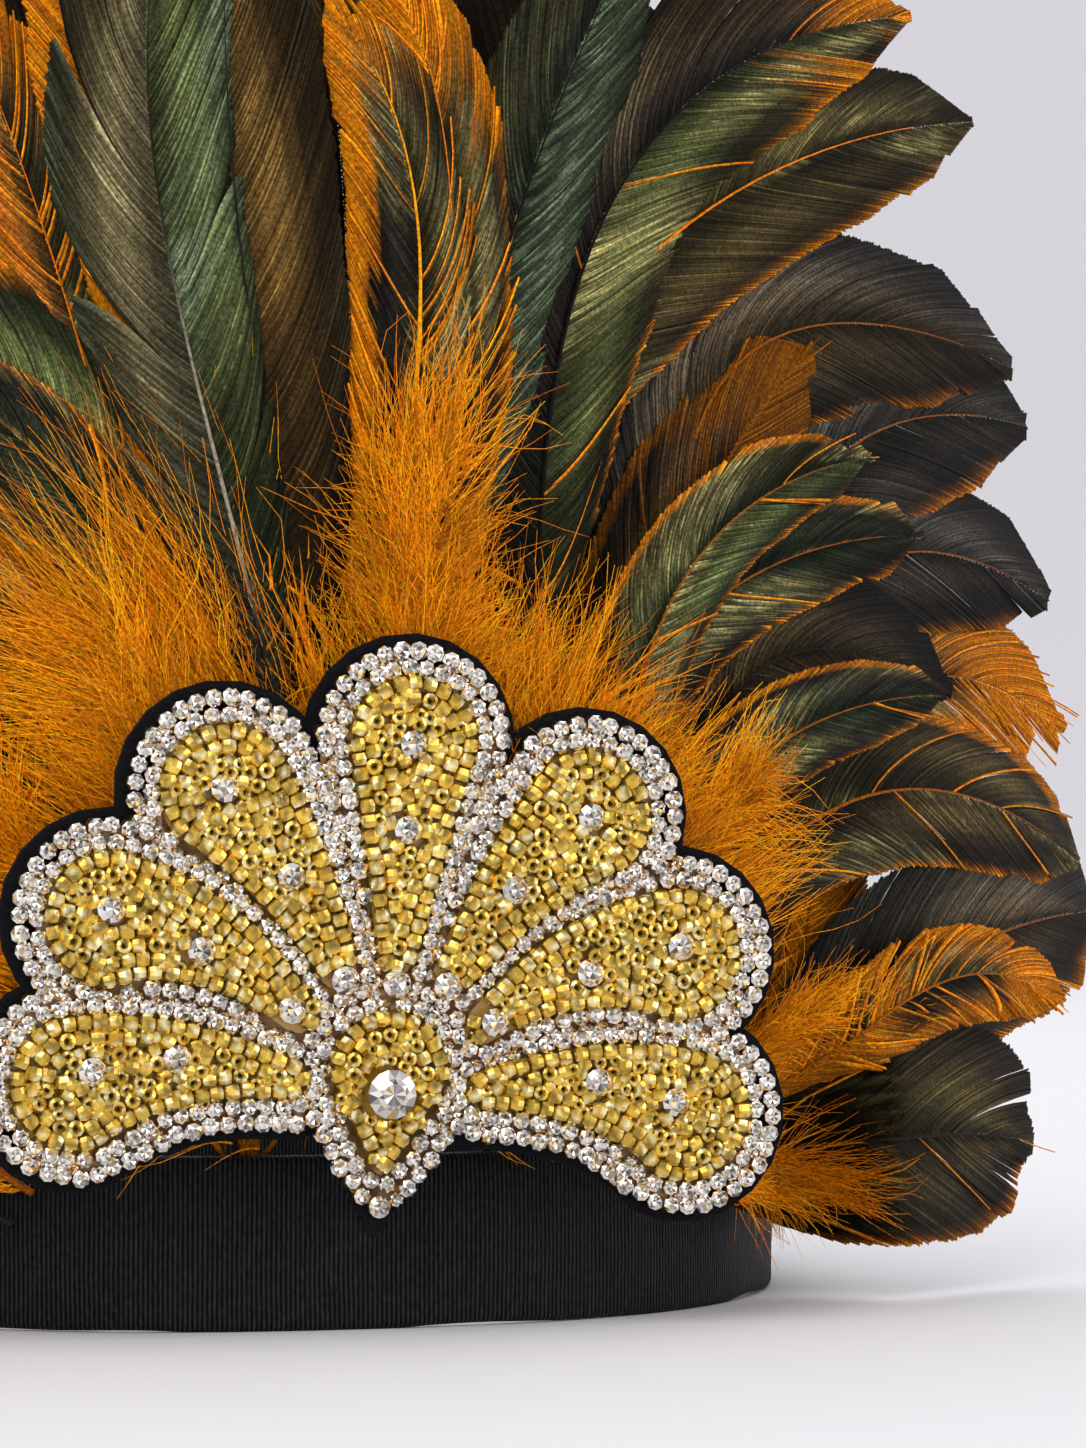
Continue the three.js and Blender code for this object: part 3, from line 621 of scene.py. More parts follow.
def add_fringe(shape, rng):
    """Down that fans out from behind the motif all round its upper edge, longest over its left valley."""
    count = FRINGE.count
    s = np.linspace(0, 1, STRAND.points)[None, :]
    group = clumps(rng, count, *FRINGE.locks)
    groups = group.max() + 1
    low, high = FRINGE.span
    pick = rng.random(groups)
    right = rng.uniform(*FRINGE.right, groups)
    lock = np.where(pick < FRINGE.right_share, right, low + (high - low) * rng.random(groups))
    lock = np.where(pick > FRINGE.valley_from, rng.uniform(*FRINGE.valley, groups), lock)
    valley = (pick > FRINGE.valley_from)[group]
    turn = np.radians(lock[group] + rng.normal(0, FRINGE.jitter, count))[:, None]
    start = (rng.uniform(*FRINGE.starts, groups)[group] + rng.normal(0, FRINGE.start_jitter, count))[:, None]
    fill = (rng.random(count) < STRAND.fill)[:, None]
    length = (rng.uniform(*FRINGE.lengths, groups)[group] * rng.uniform(*STRAND.lengths, count))[:, None]
    length = length * np.where(fill, FRINGE.fill_length, 1)
    length = length * np.where(valley, FRINGE.valley_length, 1)[:, None]
    lean = rng.normal(0, FRINGE.lock_lean, groups)[group] * np.where(valley, FRINGE.valley_lean, 1)
    lean = np.radians(lean + rng.normal(0, FRINGE.lean, count))[:, None]
    heading = turn + lean * (FRINGE.lean_foot + FRINGE.lean_tip * s)
    heading = heading - math.radians(FRINGE.valley_turn) * valley[:, None] + curls(rng, count, s)
    x = start * np.sin(turn) + run_along(length, np.sin(heading))
    z = FRINGE.centre + start * np.cos(turn) + run_along(length, np.cos(heading))
    wave = rng.normal(0, FRINGE.wave, (count, 1)) * np.sin(s * rng.uniform(*STRAND.wave_turns, (count, 1)))
    forward = FRINGE.forward + rng.uniform(*FRINGE.lock_forward, groups)[group][:, None]
    forward = forward + rng.uniform(*FRINGE.tip_forward, (count, 1)) * s + wave
    paths = fan_place(x + wave, z, forward - np.where(fill, FRINGE.fill_depth, 0))
    add_strands(shape, rng, paths, s, group, fill)


def add_wisps(shape, rng):
    """Stray strands that fall out from under the motif over the band's upper edge."""
    count = WISP.count
    s = np.linspace(0, 1, WISP.points)[None, :]
    left = rng.random(count) < WISP.left_share
    low, high = np.where(left[:, None], WISP.left, WISP.right).T
    outward = np.where(left, -1, 1)[:, None] * rng.uniform(*WISP.reach, (count, 1))
    x = (low + (high - low) * rng.random(count))[:, None] + outward * s
    fall = rng.uniform(*WISP.fall, (count, 1)) * s ** WISP.fall_power
    z = rng.uniform(*WISP.top, (count, 1)) - fall
    z = z + WISP.wave * np.sin(s * rng.uniform(*WISP.wave_turns, (count, 1)))
    paths = fan_place(x, z, WISP.forward + rng.uniform(*WISP.bulge, (count, 1)) * np.sin(math.pi * s))
    widths = rng.uniform(*WISP.widths, (count, 1)) * (WISP.foot - WISP.taper * s)
    green = rng.random(count) < WISP.green_share
    colour = np.where(green[:, None], JADE, AMBER) * rng.uniform(*WISP.shades, (count, 1))
    paint = np.concatenate([colour, np.zeros((count, 1))], axis=1)
    paint = np.repeat(paint[:, None], WISP.points, axis=1)
    add_ribbons(shape, paths, widths, paint, rng.normal(0, WISP.tilt, count))


def node_material(name):
    material = bpy.data.materials.new(name)
    material.use_nodes = True
    nodes, links = material.node_tree.nodes, material.node_tree.links
    return material, nodes, links, nodes["Principled BSDF"]


def math_node(nodes, links, operation, a, b):
    node = nodes.new("ShaderNodeMath")
    node.operation = operation
    for socket, value in zip(node.inputs, (a, b)):
        if isinstance(value, (int, float)):
            socket.default_value = value
        else:
            links.new(value, socket)
    return node.outputs[0]


def noise_node(nodes, links, scale, detail, stretch=None):
    place = nodes.new("ShaderNodeTexCoord").outputs["Object"]
    if stretch:
        scaled = nodes.new("ShaderNodeVectorMath")
        scaled.operation = "MULTIPLY"
        links.new(place, scaled.inputs[0])
        scaled.inputs[1].default_value = stretch
        place = scaled.outputs[0]
    noise = nodes.new("ShaderNodeTexNoise")
    noise.inputs["Scale"].default_value = scale
    noise.inputs["Detail"].default_value = detail
    links.new(place, noise.inputs["Vector"])
    return noise.outputs["Fac"]


def bump_node(nodes, links, shader, height, strength, distance):
    relief = nodes.new("ShaderNodeBump")
    relief.inputs["Strength"].default_value = strength
    relief.inputs["Distance"].default_value = distance
    links.new(height, relief.inputs["Height"])
    links.new(relief.outputs["Normal"], shader.inputs["Normal"])


GRAIN_DETAIL = 3
GRAIN_RELIEF = 0.0002


def painted_material(name, roughness, gloss_drop, metal, grain, grain_scale, bump):
    """Paint from the mesh, broken up by a fine grain, on the feathers also a painted sparkle, glossier and more
    metallic where the paint says so.
    """
    material, nodes, links, shader = node_material(name)
    paint = nodes.new("ShaderNodeAttribute")
    paint.attribute_name = "paint"
    fac = noise_node(nodes, links, grain_scale, GRAIN_DETAIL)
    bright = math_node(nodes, links, "MULTIPLY_ADD", fac, grain)
    bright.node.inputs[2].default_value = 1 - grain / 2
    scale = nodes.new("ShaderNodeVectorMath")
    scale.operation = "SCALE"
    links.new(paint.outputs["Color"], scale.inputs[0])
    links.new(bright, scale.inputs["Scale"])
    links.new(scale.outputs[0], shader.inputs["Base Color"])
    links.new(math_node(nodes, links, "MULTIPLY", paint.outputs["Alpha"], metal), shader.inputs["Metallic"])
    rough = math_node(nodes, links, "MULTIPLY_ADD", paint.outputs["Alpha"], -gloss_drop)
    rough.node.inputs[2].default_value = roughness
    links.new(rough, shader.inputs["Roughness"])
    bump_node(nodes, links, shader, fac, bump, GRAIN_RELIEF)
    return material, shader


# On the feathers the grain is fine texture and also painted sparkle: specks of painted highlight along the
# barbs
FEATHER, feather_shader = painted_material("feather", roughness=0.62, gloss_drop=0.26, metal=0.6,
                                           grain=2.6, grain_scale=2200, bump=0.2)
feather_shader.inputs["Specular IOR Level"].default_value = 0.07
# Tufts: strands in one of full width, where they start, their lengths, lift, and the share that leans out
TUFT = Sizes(count=3700, width=24, width_power=1.5, first=0.12, by_width=0.8, longer=5, lift=0.6,
             outward=0.6)
# Tufts of their own kind: share of the strands, how far up the rib, share of the length, spread and lean
TUFT_PLAIN = (1, .92, 1, 50, 0)
TUFT_TRIM = {"tuft_1_right": (1, .6, .95, 55, 0), "tuft_2_right": (.6, .8, .85, 45, 0),
             "tuft_1_left": (.6, .8, 1.35, 24, 20), "tuft_2_left": (.75, .9, 1.2, 28, 12),
             "tuft_3": (1.1, .6, .95, 24, 0), "tuft_4": (.9, .7, 1.5, 17, 0)}
# Down at a feather's foot: strands where it shows or is hidden, its start, length, spread and lift
FOOT = Sizes(count=380, hidden_count=200, first=0.06, inner_first=0.0, longest=10, by_width=0.3, spread=45,
             lift=0.5)


def build_tuft(shape, rib, rng):
    name, width = rib.plume["name"], rib.plume["width"]
    family = name.rsplit("_", 1)[0]
    share, last, reach, spread, lean = TUFT_TRIM.get(name, TUFT_TRIM.get(family, TUFT_PLAIN))
    count = int(TUFT.count * share * (width / TUFT.width) ** TUFT.width_power)
    longest = (TUFT.by_width * width + TUFT.longer) * reach
    if name == "tuft_top":
        add_down(shape, rib, rng, count, TUFT.first, last, longest, spread, TUFT.lift)
        add_wisps(shape, rng)
        add_fringe(shape, rng)
    else:
        add_down(shape, rib, rng, count, TUFT.first, last, longest, spread, TUFT.lift, TUFT.outward, lean)


def build_blade(shape, rib, rng):
    plume = rib.plume
    add_rib(shape, rib)
    for side in (-1, 1):
        add_vane(shape, rib, side, rng)
    count = FOOT.count if plume["place"] in ("rim", "face") else FOOT.hidden_count
    first = FOOT.inner_first if plume["place"] == "inner" else FOOT.first
    longest = FOOT.longest + FOOT.by_width * plume["width"]
    add_down(shape, rib, rng, count, first, STYLES[plume["style"]]["down"], longest, FOOT.spread, FOOT.lift)


def build_feather(index, plume):
    rng = np.random.default_rng(SEED + index)
    shape = Shape()
    tuft = plume["style"] == "tuft"
    build = build_tuft if tuft else build_blade
    build(shape, Rib(plume), rng)
    shape.piece(plume["name"] + "_strands", FEATHER, [plume["name"]])


for index, plume in enumerate(PLUMES):
    build_feather(index, plume)

# Motif: its plane, and the shapes of its fields
MOTIF = Sizes(lean=2.0, roll=3.8, hub_height=34.3, stand_off=5.1, petal_reach=39.6, end_radius=8.3,
              bend_reach=28.5, root_reach=13.0, root_radius=2.4, drop_radius=7.6, drop_rise=-1.5,
              drop_tip=13.6, drop_tip_radius=0.8, border=4.2, margin=1.2, point_grow=1.45, stone_rise=-4.0)
LEAN, ROLL = math.radians(MOTIF.lean), math.radians(MOTIF.roll)
TIP_REACH = MOTIF.drop_tip + (MOTIF.border + MOTIF.margin) * MOTIF.point_grow
HUB_FORWARD = BAND.half_depth + MOTIF.stand_off + TIP_REACH * math.sin(LEAN)
HUB = np.array([0, -HUB_FORWARD, MOTIF.hub_height])
MOTIF_AXES = np.array([
    [math.cos(ROLL), math.sin(ROLL) * math.sin(LEAN), -math.sin(ROLL) * math.cos(LEAN)],
    [math.sin(ROLL), -math.cos(ROLL) * math.sin(LEAN), math.cos(ROLL) * math.cos(LEAN)],
    [0, -math.cos(LEAN), -math.sin(LEAN)],
])
# Directions of each petal's round end, bend and root, in degrees from straight up
PETAL_DEGREES = {"petal_left_low": (-97, -90, -103), "petal_left_mid": (-67, -56, -67),
                 "petal_left_high": (-36, -31, -34), "petal_top": (0, 0, 0), "petal_right_high": (36, 31, 34),
                 "petal_right_mid": (67, 56, 67), "petal_right_low": (97, 90, 103)}
FIELD_POINTS = 60


def motif_place(local):
    return HUB + np.asarray(local, float) @ MOTIF_AXES


def polar(reach, degrees):
    return np.array([reach * math.sin(math.radians(degrees)), reach * math.cos(math.radians(degrees))])


def field_axes():
    """Each gold field's middle line and half width, root first."""
    t = np.linspace(0, 1, FIELD_POINTS)[:, None]
    fields = {}
    for name, (end, bend, root) in PETAL_DEGREES.items():
        start, stop = polar(MOTIF.root_reach, root), polar(MOTIF.petal_reach, end)
        control = polar(MOTIF.bend_reach, bend)
        line = start * (1 - t) ** 2 + control * 2 * t * (1 - t) + stop * t ** 2
        fields[name] = (line, MOTIF.root_radius + (MOTIF.end_radius - MOTIF.root_radius) * t[:, 0])
    tip, top = np.array([0, -MOTIF.drop_tip]), np.array([0, MOTIF.drop_rise])
    radius = MOTIF.drop_tip_radius + (MOTIF.drop_radius - MOTIF.drop_tip_radius) * t[:, 0]
    fields["centre_drop"] = (tip + (top - tip) * t, radius)
    return fields


FIELDS = field_axes()


def field_distance(name, points):
    """How far points lie outside a field, less than 0 inside."""
    line, radius = FIELDS[name]
    gap = np.linalg.norm(points[:, None] - line[None], axis=-1) - radius[None]
    return gap.min(axis=1)


def all_distance(points):
    return np.min([field_distance(name, points) for name in FIELDS], axis=0)


# Outlines of the fields: the least half width that is followed, points round an end, and the step of a row
OUTLINE = Sizes(least=0.15, fewest=3, round=24, ahead=0.3)


def field_outline(name, grow, spacing):
    """Points spaced along a field's outline, grown or shrunk, with the direction of the row."""
    line, radius = FIELDS[name]
    size = radius + grow
    keep = size > OUTLINE.least
    line, size = line[keep], size[keep]
    if len(line) < OUTLINE.fewest:
        return np.zeros((0, 2)), np.zeros((0, 2))
    tangent = unit(np.gradient(line, axis=0))
    normal = np.stack([tangent[:, 1], -tangent[:, 0]], axis=1)
    turn = np.linspace(0, math.pi, OUTLINE.round)[1:-1, None]
    cap = line[-1] + size[-1] * (normal[-1] * np.cos(turn) + tangent[-1] * np.sin(turn))
    foot = line[0] + size[0] * (-normal[0] * np.cos(turn) - tangent[0] * np.sin(turn))
    loop = np.concatenate([line + normal * size[:, None], cap, (line - normal * size[:, None])[::-1], foot])
    loop = np.concatenate([loop, loop[:1]])
    arc = np.concatenate([[0], np.cumsum(np.linalg.norm(np.diff(loop, axis=0), axis=1))])
    count = max(OUTLINE.fewest, int(round(arc[-1] / spacing)))
    places = np.linspace(0, arc[-1], count, endpoint=False)

    def at(along):
        return np.stack([np.interp(along, arc, loop[:, i]) for i in (0, 1)], axis=1)

    points = at(places)
    return points, unit(at((places + OUTLINE.ahead) % arc[-1]) - points)


GRID_TURN = 2.4


def grid_candidates(points, pitch):
    low, high = points.min(axis=0), points.max(axis=0)
    xs, ys = np.arange(low[0], high[0], pitch), np.arange(low[1], high[1], pitch)
    places = np.stack(np.meshgrid(xs, ys), axis=-1).reshape(-1, 2)
    turn = np.arange(len(places)) * GRID_TURN
    return places, np.stack([np.cos(turn), np.sin(turn)], axis=1)


# Larger stones in the gold: across and up from the hub, right half and middle
STONE_PAIRS = ((23.7, 32.1), (14.5, 22.2), (6.6, 9.7), (36.8, 16.5), (25.1, 12.3), (13.1, 5.5), (37.6, -3.3),
               (27.2, -1.1))
STONE_MIDDLES = ((0, 39.5), (0, 28.8), (0, 9.5))
PETAL_STONES = np.array([*STONE_MIDDLES, *STONE_PAIRS, *((-a, b) for a, b in STONE_PAIRS)])
TIP_STONE = np.array([0, -18.2])
CENTRE_STONE = np.array([0, MOTIF.stone_rise])


def spin_matrices(ahead, tip):
    """Turns that lay a piece's own x along the row and tip its axis out of the motif's face."""
    count = len(ahead)
    along = np.concatenate([ahead, np.zeros((count, 1))], axis=1)
    up = np.zeros((count, 3))
    up[:, 2] = 1
    up[:, :2] = tip
    up = unit(up - along * dot(up, along))
    return np.stack([along, np.cross(up, along), up], axis=1)


def scatter(shape, form, places, heights, turns, paint, sizes):
    """Copies of a small form, set into the motif at places and heights, each point with its own paint."""
    points, quads, triangles = form
    local = np.einsum("pj,njk->npk", points, turns) * sizes[:, None, None]
    local[..., :2] += places[:, None]
    local[..., 2] += heights[:, None]
    count, size = len(places), len(points)
    offset = np.arange(count)[:, None, None] * size
    shape.add(motif_place(local.reshape(-1, 3)), paint.reshape(-1, 4),
              None if quads is None else (quads[None] + offset).reshape(-1, 4),
              None if triangles is None else (triangles[None] + offset).reshape(-1, 3))


BEAD_RING, BEAD_TUBE = 10, 7


def bead_form(outer, hole, length):
    """A short drilled bead lying along its own x."""
    turn = np.linspace(0, 2 * math.pi, BEAD_RING, endpoint=False)
    roll = np.linspace(0, 2 * math.pi, BEAD_TUBE, endpoint=False)
    radius = (outer + hole) / 2 + (outer - hole) / 2 * np.cos(roll)
    x = length / 2 * np.sin(roll)
    points = np.stack([np.broadcast_to(x, (BEAD_RING, BEAD_TUBE)), radius * np.cos(turn)[:, None],
                       radius * np.sin(turn)[:, None]], axis=-1).reshape(-1, 3)
    return points, closed_quads(BEAD_RING, BEAD_TUBE), None


# Cut of a stone: its foot and the middle ring of facets as shares of its radius, and of the height of its crown
STONE_FOOT = 0.94
STONE_MID_SIZE = 0.42
STONE_MID_HEIGHT = 0.62


def stone_form(radius, girdle, crown, table, facets, dish):
    """A cut stone on its own z, each facet with its own corners: setting, crown and dished table."""
    turn = np.linspace(0, 2 * math.pi, facets, endpoint=False)
    half = turn + math.pi / facets

    def ring(size, height, angle):
        return np.stack([size * np.cos(angle), size * np.sin(angle), np.full(facets, height)], axis=1)

    foot, edge = ring(radius * STONE_FOOT, 0, turn), ring(radius, girdle, turn)
    mid = ring(radius * (STONE_MID_SIZE + table / 2), girdle + crown * STONE_MID_HEIGHT, half)
    top = ring(radius * table, girdle + crown, turn)
    heart = np.tile([[0, 0, girdle + crown - dish]], (facets, 1))
    after = np.roll(np.arange(facets), -1)
    facet_sets = ((foot, foot[after], edge[after]), (foot, edge[after], edge), (edge, edge[after], mid),
                  (mid, edge[after], mid[after]), (mid, top[after], top), (mid, mid[after], top[after]),
                  (top, top[after], heart))
    points = np.concatenate([np.stack(corners, axis=1).reshape(-1, 3) for corners in facet_sets])
    return points, None, np.arange(len(points)).reshape(-1, 3)


# Facets: how bright their painted reflections are and how often, the table's painted change of bright and dark,
# tint, and gold of the settings
FACET_REFLECTIONS = (1.0, 0.85, 0.5, 0.14)
FACET_SHARES = (0.52, 0.22, 0.14, 0.12)
TABLE_REFLECTIONS = (1.0, 0.4)
STONE_TINT = (0.97, 0.91, 0.83)
STONE_SHADES = (0.9, 1.05)
SETTING_GOLD = (0.66, 0.38, 0.09)
SETTING_GLINTS = 0.07


def stone_paint(rng, form, facets, count):
    """Each facet of each stone its own painted reflection, from bright to dark, the setting round the foot a
    dull gold.
    """
    triangles = len(form[2])
    # Painted reflections: each facet gets a chance brightness, and the table's facets alternate light and dark
    bright = rng.choice(FACET_REFLECTIONS, (count, triangles), p=FACET_SHARES)
    bright[:, -facets:] *= np.tile(TABLE_REFLECTIONS, facets // 2)
    paint = np.array(STONE_TINT) * rng.uniform(*STONE_SHADES, (count, 1, 1)) * bright[..., None]
    warm = rng.random((count, triangles)) < SETTING_GLINTS
    paint[warm] = SETTING_GOLD
    paint[:, :2 * facets] = SETTING_GOLD
    paint = np.concatenate([paint, np.ones((count, triangles, 1))], axis=-1)
    return np.repeat(paint, 3, axis=1)


# Small stones: how far out the two rows lie, how far apart, and the limits and grid of what fills gaps
STONES = Sizes(rows=(3.25, 1.15), apart=2.12, row_slack=0.06, close=0.12, fill_apart=1.3, inside=0.3,
               fill_inside=0.5, outside=0.15, fill_outside=0.35, grid=0.4, grid_reach=12, to_large=2.5,
               sizes=(0.95, 1.05), fill_size=0.86, fill_sunk=0.45, tip=0.1, large_tip=0.06,
               tip_stone_size=0.78, centre_foot=4.5)
# Beads: how far in the rows lie, how far apart, the limits and grid of what fills gaps, and how they lie
BEADS = Sizes(rows=(-0.9, -2.75, -4.6, -6.4), spacing=1.95, apart=1.68, fill_apart=1.18, inside=-0.6,
              to_stone=2.4, ring_gap=0.02, ring=9, grid=0.36, grid_reach=9, centre_ring=(1.5, 8),
              jitter=0.07, tip=0.2, upright=0.4, sizes=(0.94, 1.06), fill_size=0.85, foot=1.2,
              foot_jitter=0.08, shades=(0.75, 1.1), blend_power=0.6)
# Painted light on a bead: which chance values get a painted highlight and which a painted dark reflection, how
# strongly, and the painted shade in its hole
BEAD_PAINTED_LIGHT = Sizes(pale_from=0.87, pale=0.95, dark_to=0.36, dark=0.85, hole_span=(-0.95, -0.1), hole=0.6)
SMALL_FACETS, PETAL_FACETS, CENTRE_FACETS = 8, 12, 14
RHINESTONE = stone_form(radius=1.16, girdle=1.35, crown=0.5, table=0.56, facets=SMALL_FACETS, dish=0.3)
PETAL_STONE = stone_form(radius=1.8, girdle=2.0, crown=0.9, table=0.5, facets=PETAL_FACETS, dish=0.35)
CENTRE_FORM = stone_form(radius=3.1, girdle=0.9, crown=1.1, table=0.46, facets=CENTRE_FACETS, dish=0.4)
BEAD = bead_form(outer=1.16, hole=0.14, length=1.98)
GOLD = (0.95, 0.63, 0.07)
GOLD_DEEP = (0.84, 0.48, 0.025)
# Painted highlight of the beads, and the painted dark of their reflections and holes
PAINTED_GOLD_HIGHLIGHT = (1.0, 0.93, 0.55)
PAINTED_GOLD_DARK = (0.26, 0.17, 0.015)
# Cloth under the beads and stones, and how far above the foot of the layer it lies
GOLD_BED, GOLD_BED_RISE = (0.52, 0.30, 0.03, 0.0), 0.35
STONE_BED, STONE_BED_RISE = (0.50, 0.28, 0.07, 0.0), 0.15
BED = Sizes(spacing=1.0, every=6, beyond=0.5, sides=28)
LAYER_FOOT = 1.8

GOLD_BEADS, gold_shader = painted_material("gold_beads", roughness=0.26, gloss_drop=0.16, metal=0.72,
                                           grain=0.5, grain_scale=1100, bump=0.05)
gold_shader.inputs["Coat Weight"].default_value = 0.8
gold_shader.inputs["Coat Roughness"].default_value = 0.04
CRYSTAL, crystal_shader = painted_material("crystal", roughness=0.14, gloss_drop=0.09, metal=0.9,
                                           grain=0.25, grain_scale=700, bump=0.0)
crystal_shader.inputs["Coat Weight"].default_value = 0.6
crystal_shader.inputs["Coat Roughness"].default_value = 0.02


def nearest(places, point):
    return np.min(np.hypot(*(np.asarray(places) - point).T)) if len(places) else math.inf


def place_row(kept, points, ahead, allowed, apart, taken, taken_apart):
    """Adds the allowed points that keep apart from each other, from those kept and from places taken."""
    for point, direction, good in zip(points, ahead, allowed):
        if good and nearest(taken, point) > taken_apart and nearest([k[0] for k in kept], point) > apart:
            kept.append((point, direction))


def polar_ring(size, count):
    turn = np.linspace(0, 2 * math.pi, count, endpoint=False)
    return size * np.stack([np.cos(turn), np.sin(turn)], axis=1)


def add_bed(shape, outline, middle, rise, paint):
    """A flat piece of cloth inside an outline, above the foot of the layer by the rise."""
    flat = np.concatenate([outline, [middle]])
    corners = np.concatenate([flat, np.full((len(flat), 1), LAYER_FOOT + rise)], axis=1)
    step = np.arange(len(outline))
    fan = np.stack([step, np.roll(step, -1), np.full(len(outline), len(outline))], axis=1)
    shape.add(motif_place(corners), paint, None, fan)


def bead_places(name):
    """Where a field's beads lie and which way, and how many there are after each row."""
    line = FIELDS[name][0]
    taken = np.concatenate([PETAL_STONES, CENTRE_STONE + polar_ring(*BEADS.centre_ring)])
    rows = [field_outline(name, grow, BEADS.spacing) for grow in BEADS.rows]
    inner = [stone + polar_ring(BEADS.to_stone + BEADS.ring_gap, BEADS.ring) for stone in PETAL_STONES]
    rows.insert(1, (np.concatenate(inner), np.tile(polar_ring(1, BEADS.ring)[:, ::-1], (len(inner), 1))))
    reach = np.concatenate([line - BEADS.grid_reach, line + BEADS.grid_reach])
    rows += [grid_candidates(reach, BEADS.grid)] * 2
    aparts = [BEADS.apart] * (len(rows) - 1) + [BEADS.fill_apart]
    beads, ends = [], []
    for (points, ahead), apart in zip(rows, aparts):
        if len(points):
            inside = field_distance(name, points) < BEADS.inside
            place_row(beads, points, ahead, inside, apart, taken, BEADS.to_stone)
        ends.append(len(beads))
    return np.array([b[0] for b in beads]), np.array([b[1] for b in beads]), ends


def bead_paint(rng, count):
    """Gold glass: each bead its own shade, with painted highlights and painted dark reflections at chance
    points, and painted shade inside its hole.
    """
    shade = rng.uniform(*BEADS.shades, (count, 1, 1))
    blend = rng.random(count) ** BEADS.blend_power
    colour = mix(np.array(GOLD_DEEP), np.array(GOLD), blend)[:, None] * shade
    roll = np.cos(np.linspace(0, 2 * math.pi, BEAD_TUBE, endpoint=False))
    light_chance = rng.random((count, BEAD_RING * BEAD_TUBE))
    paint = np.repeat(colour, BEAD_RING * BEAD_TUBE, axis=1)
    # Painted highlights and painted dark reflections at chance points, then painted shade inside the hole
    paint = mix(paint, np.array(PAINTED_GOLD_HIGHLIGHT), (light_chance > BEAD_PAINTED_LIGHT.pale_from) * BEAD_PAINTED_LIGHT.pale)
    paint = mix(paint, np.array(PAINTED_GOLD_DARK), (light_chance < BEAD_PAINTED_LIGHT.dark_to) * BEAD_PAINTED_LIGHT.dark)
    hole = BEAD_PAINTED_LIGHT.hole * np.tile(1 - smoothstep(roll, *BEAD_PAINTED_LIGHT.hole_span), BEAD_RING)
    paint = mix(paint, np.array(PAINTED_GOLD_DARK), np.broadcast_to(hole, light_chance.shape))
    return np.concatenate([paint, np.ones(light_chance.shape + (1,))], axis=-1)


def build_beads(index, name):
    rng = np.random.default_rng(BEAD_SEED + index)
    places, ahead, ends = bead_places(name)
    count = len(places)
    places = places + rng.normal(0, BEADS.jitter, (count, 2))
    turns = spin_matrices(ahead, rng.normal(0, BEADS.tip, (count, 2)))
    upright = rng.random(count) < BEADS.upright
    upright[:ends[0]] = False
    size = rng.uniform(*BEADS.sizes, count)
    size[ends[-2]:] *= BEADS.fill_size
    turns[upright] = turns[upright][:, [2, 1, 0]] * np.array([1, 1, -1])[None, :, None]
    paint = bead_paint(rng, count)
    heights = LAYER_FOOT + BEADS.foot + rng.normal(0, BEADS.foot_jitter, count)
    shape = Shape()
    scatter(shape, BEAD, places, heights, turns, paint, size)
    line = FIELDS[name][0]
    outline = field_outline(name, 0, BED.spacing)[0]
    add_bed(shape, outline, line[len(line) // 2], GOLD_BED_RISE, GOLD_BED)
    shape.piece(name + "_beads", GOLD_BEADS, [name], smooth=False)


for index, name in enumerate(FIELDS):
    build_beads(index, name)


def stone_places():
    """Where the small stones lie, and how many of them stand in rows before the gaps are filled."""
    outer, inner = STONES.rows
    spacing = STONES.apart + STONES.row_slack
    rows = [field_outline(name, grow, spacing) for grow in STONES.rows for name in FIELDS]
    every = np.concatenate([field[0] for field in FIELDS.values()])
    reach = np.concatenate([every + STONES.grid_reach, every - STONES.grid_reach])
    rows += [grid_candidates(reach, STONES.grid)] * 2
    aparts = [STONES.apart - STONES.close] * (len(rows) - 1) + [STONES.fill_apart]
    reaches = [outer + STONES.outside] * (len(rows) - 2) + [outer + STONES.fill_outside] * 2
    nears = [outer - STONES.inside] * len(FIELDS)
    nears += [inner - STONES.inside] * (len(rows) - len(FIELDS) - 1) + [STONES.fill_inside]
    taken = np.concatenate([PETAL_STONES, [TIP_STONE]])
    stones = []
    for (points, ahead), apart, near, reach in zip(rows, aparts, nears, reaches):
        outside = all_distance(points)
        full = len(stones)
        place_row(stones, points, ahead, (outside > near) & (outside < reach), apart, taken, STONES.to_large)
    return np.array([s[0] for s in stones]), full


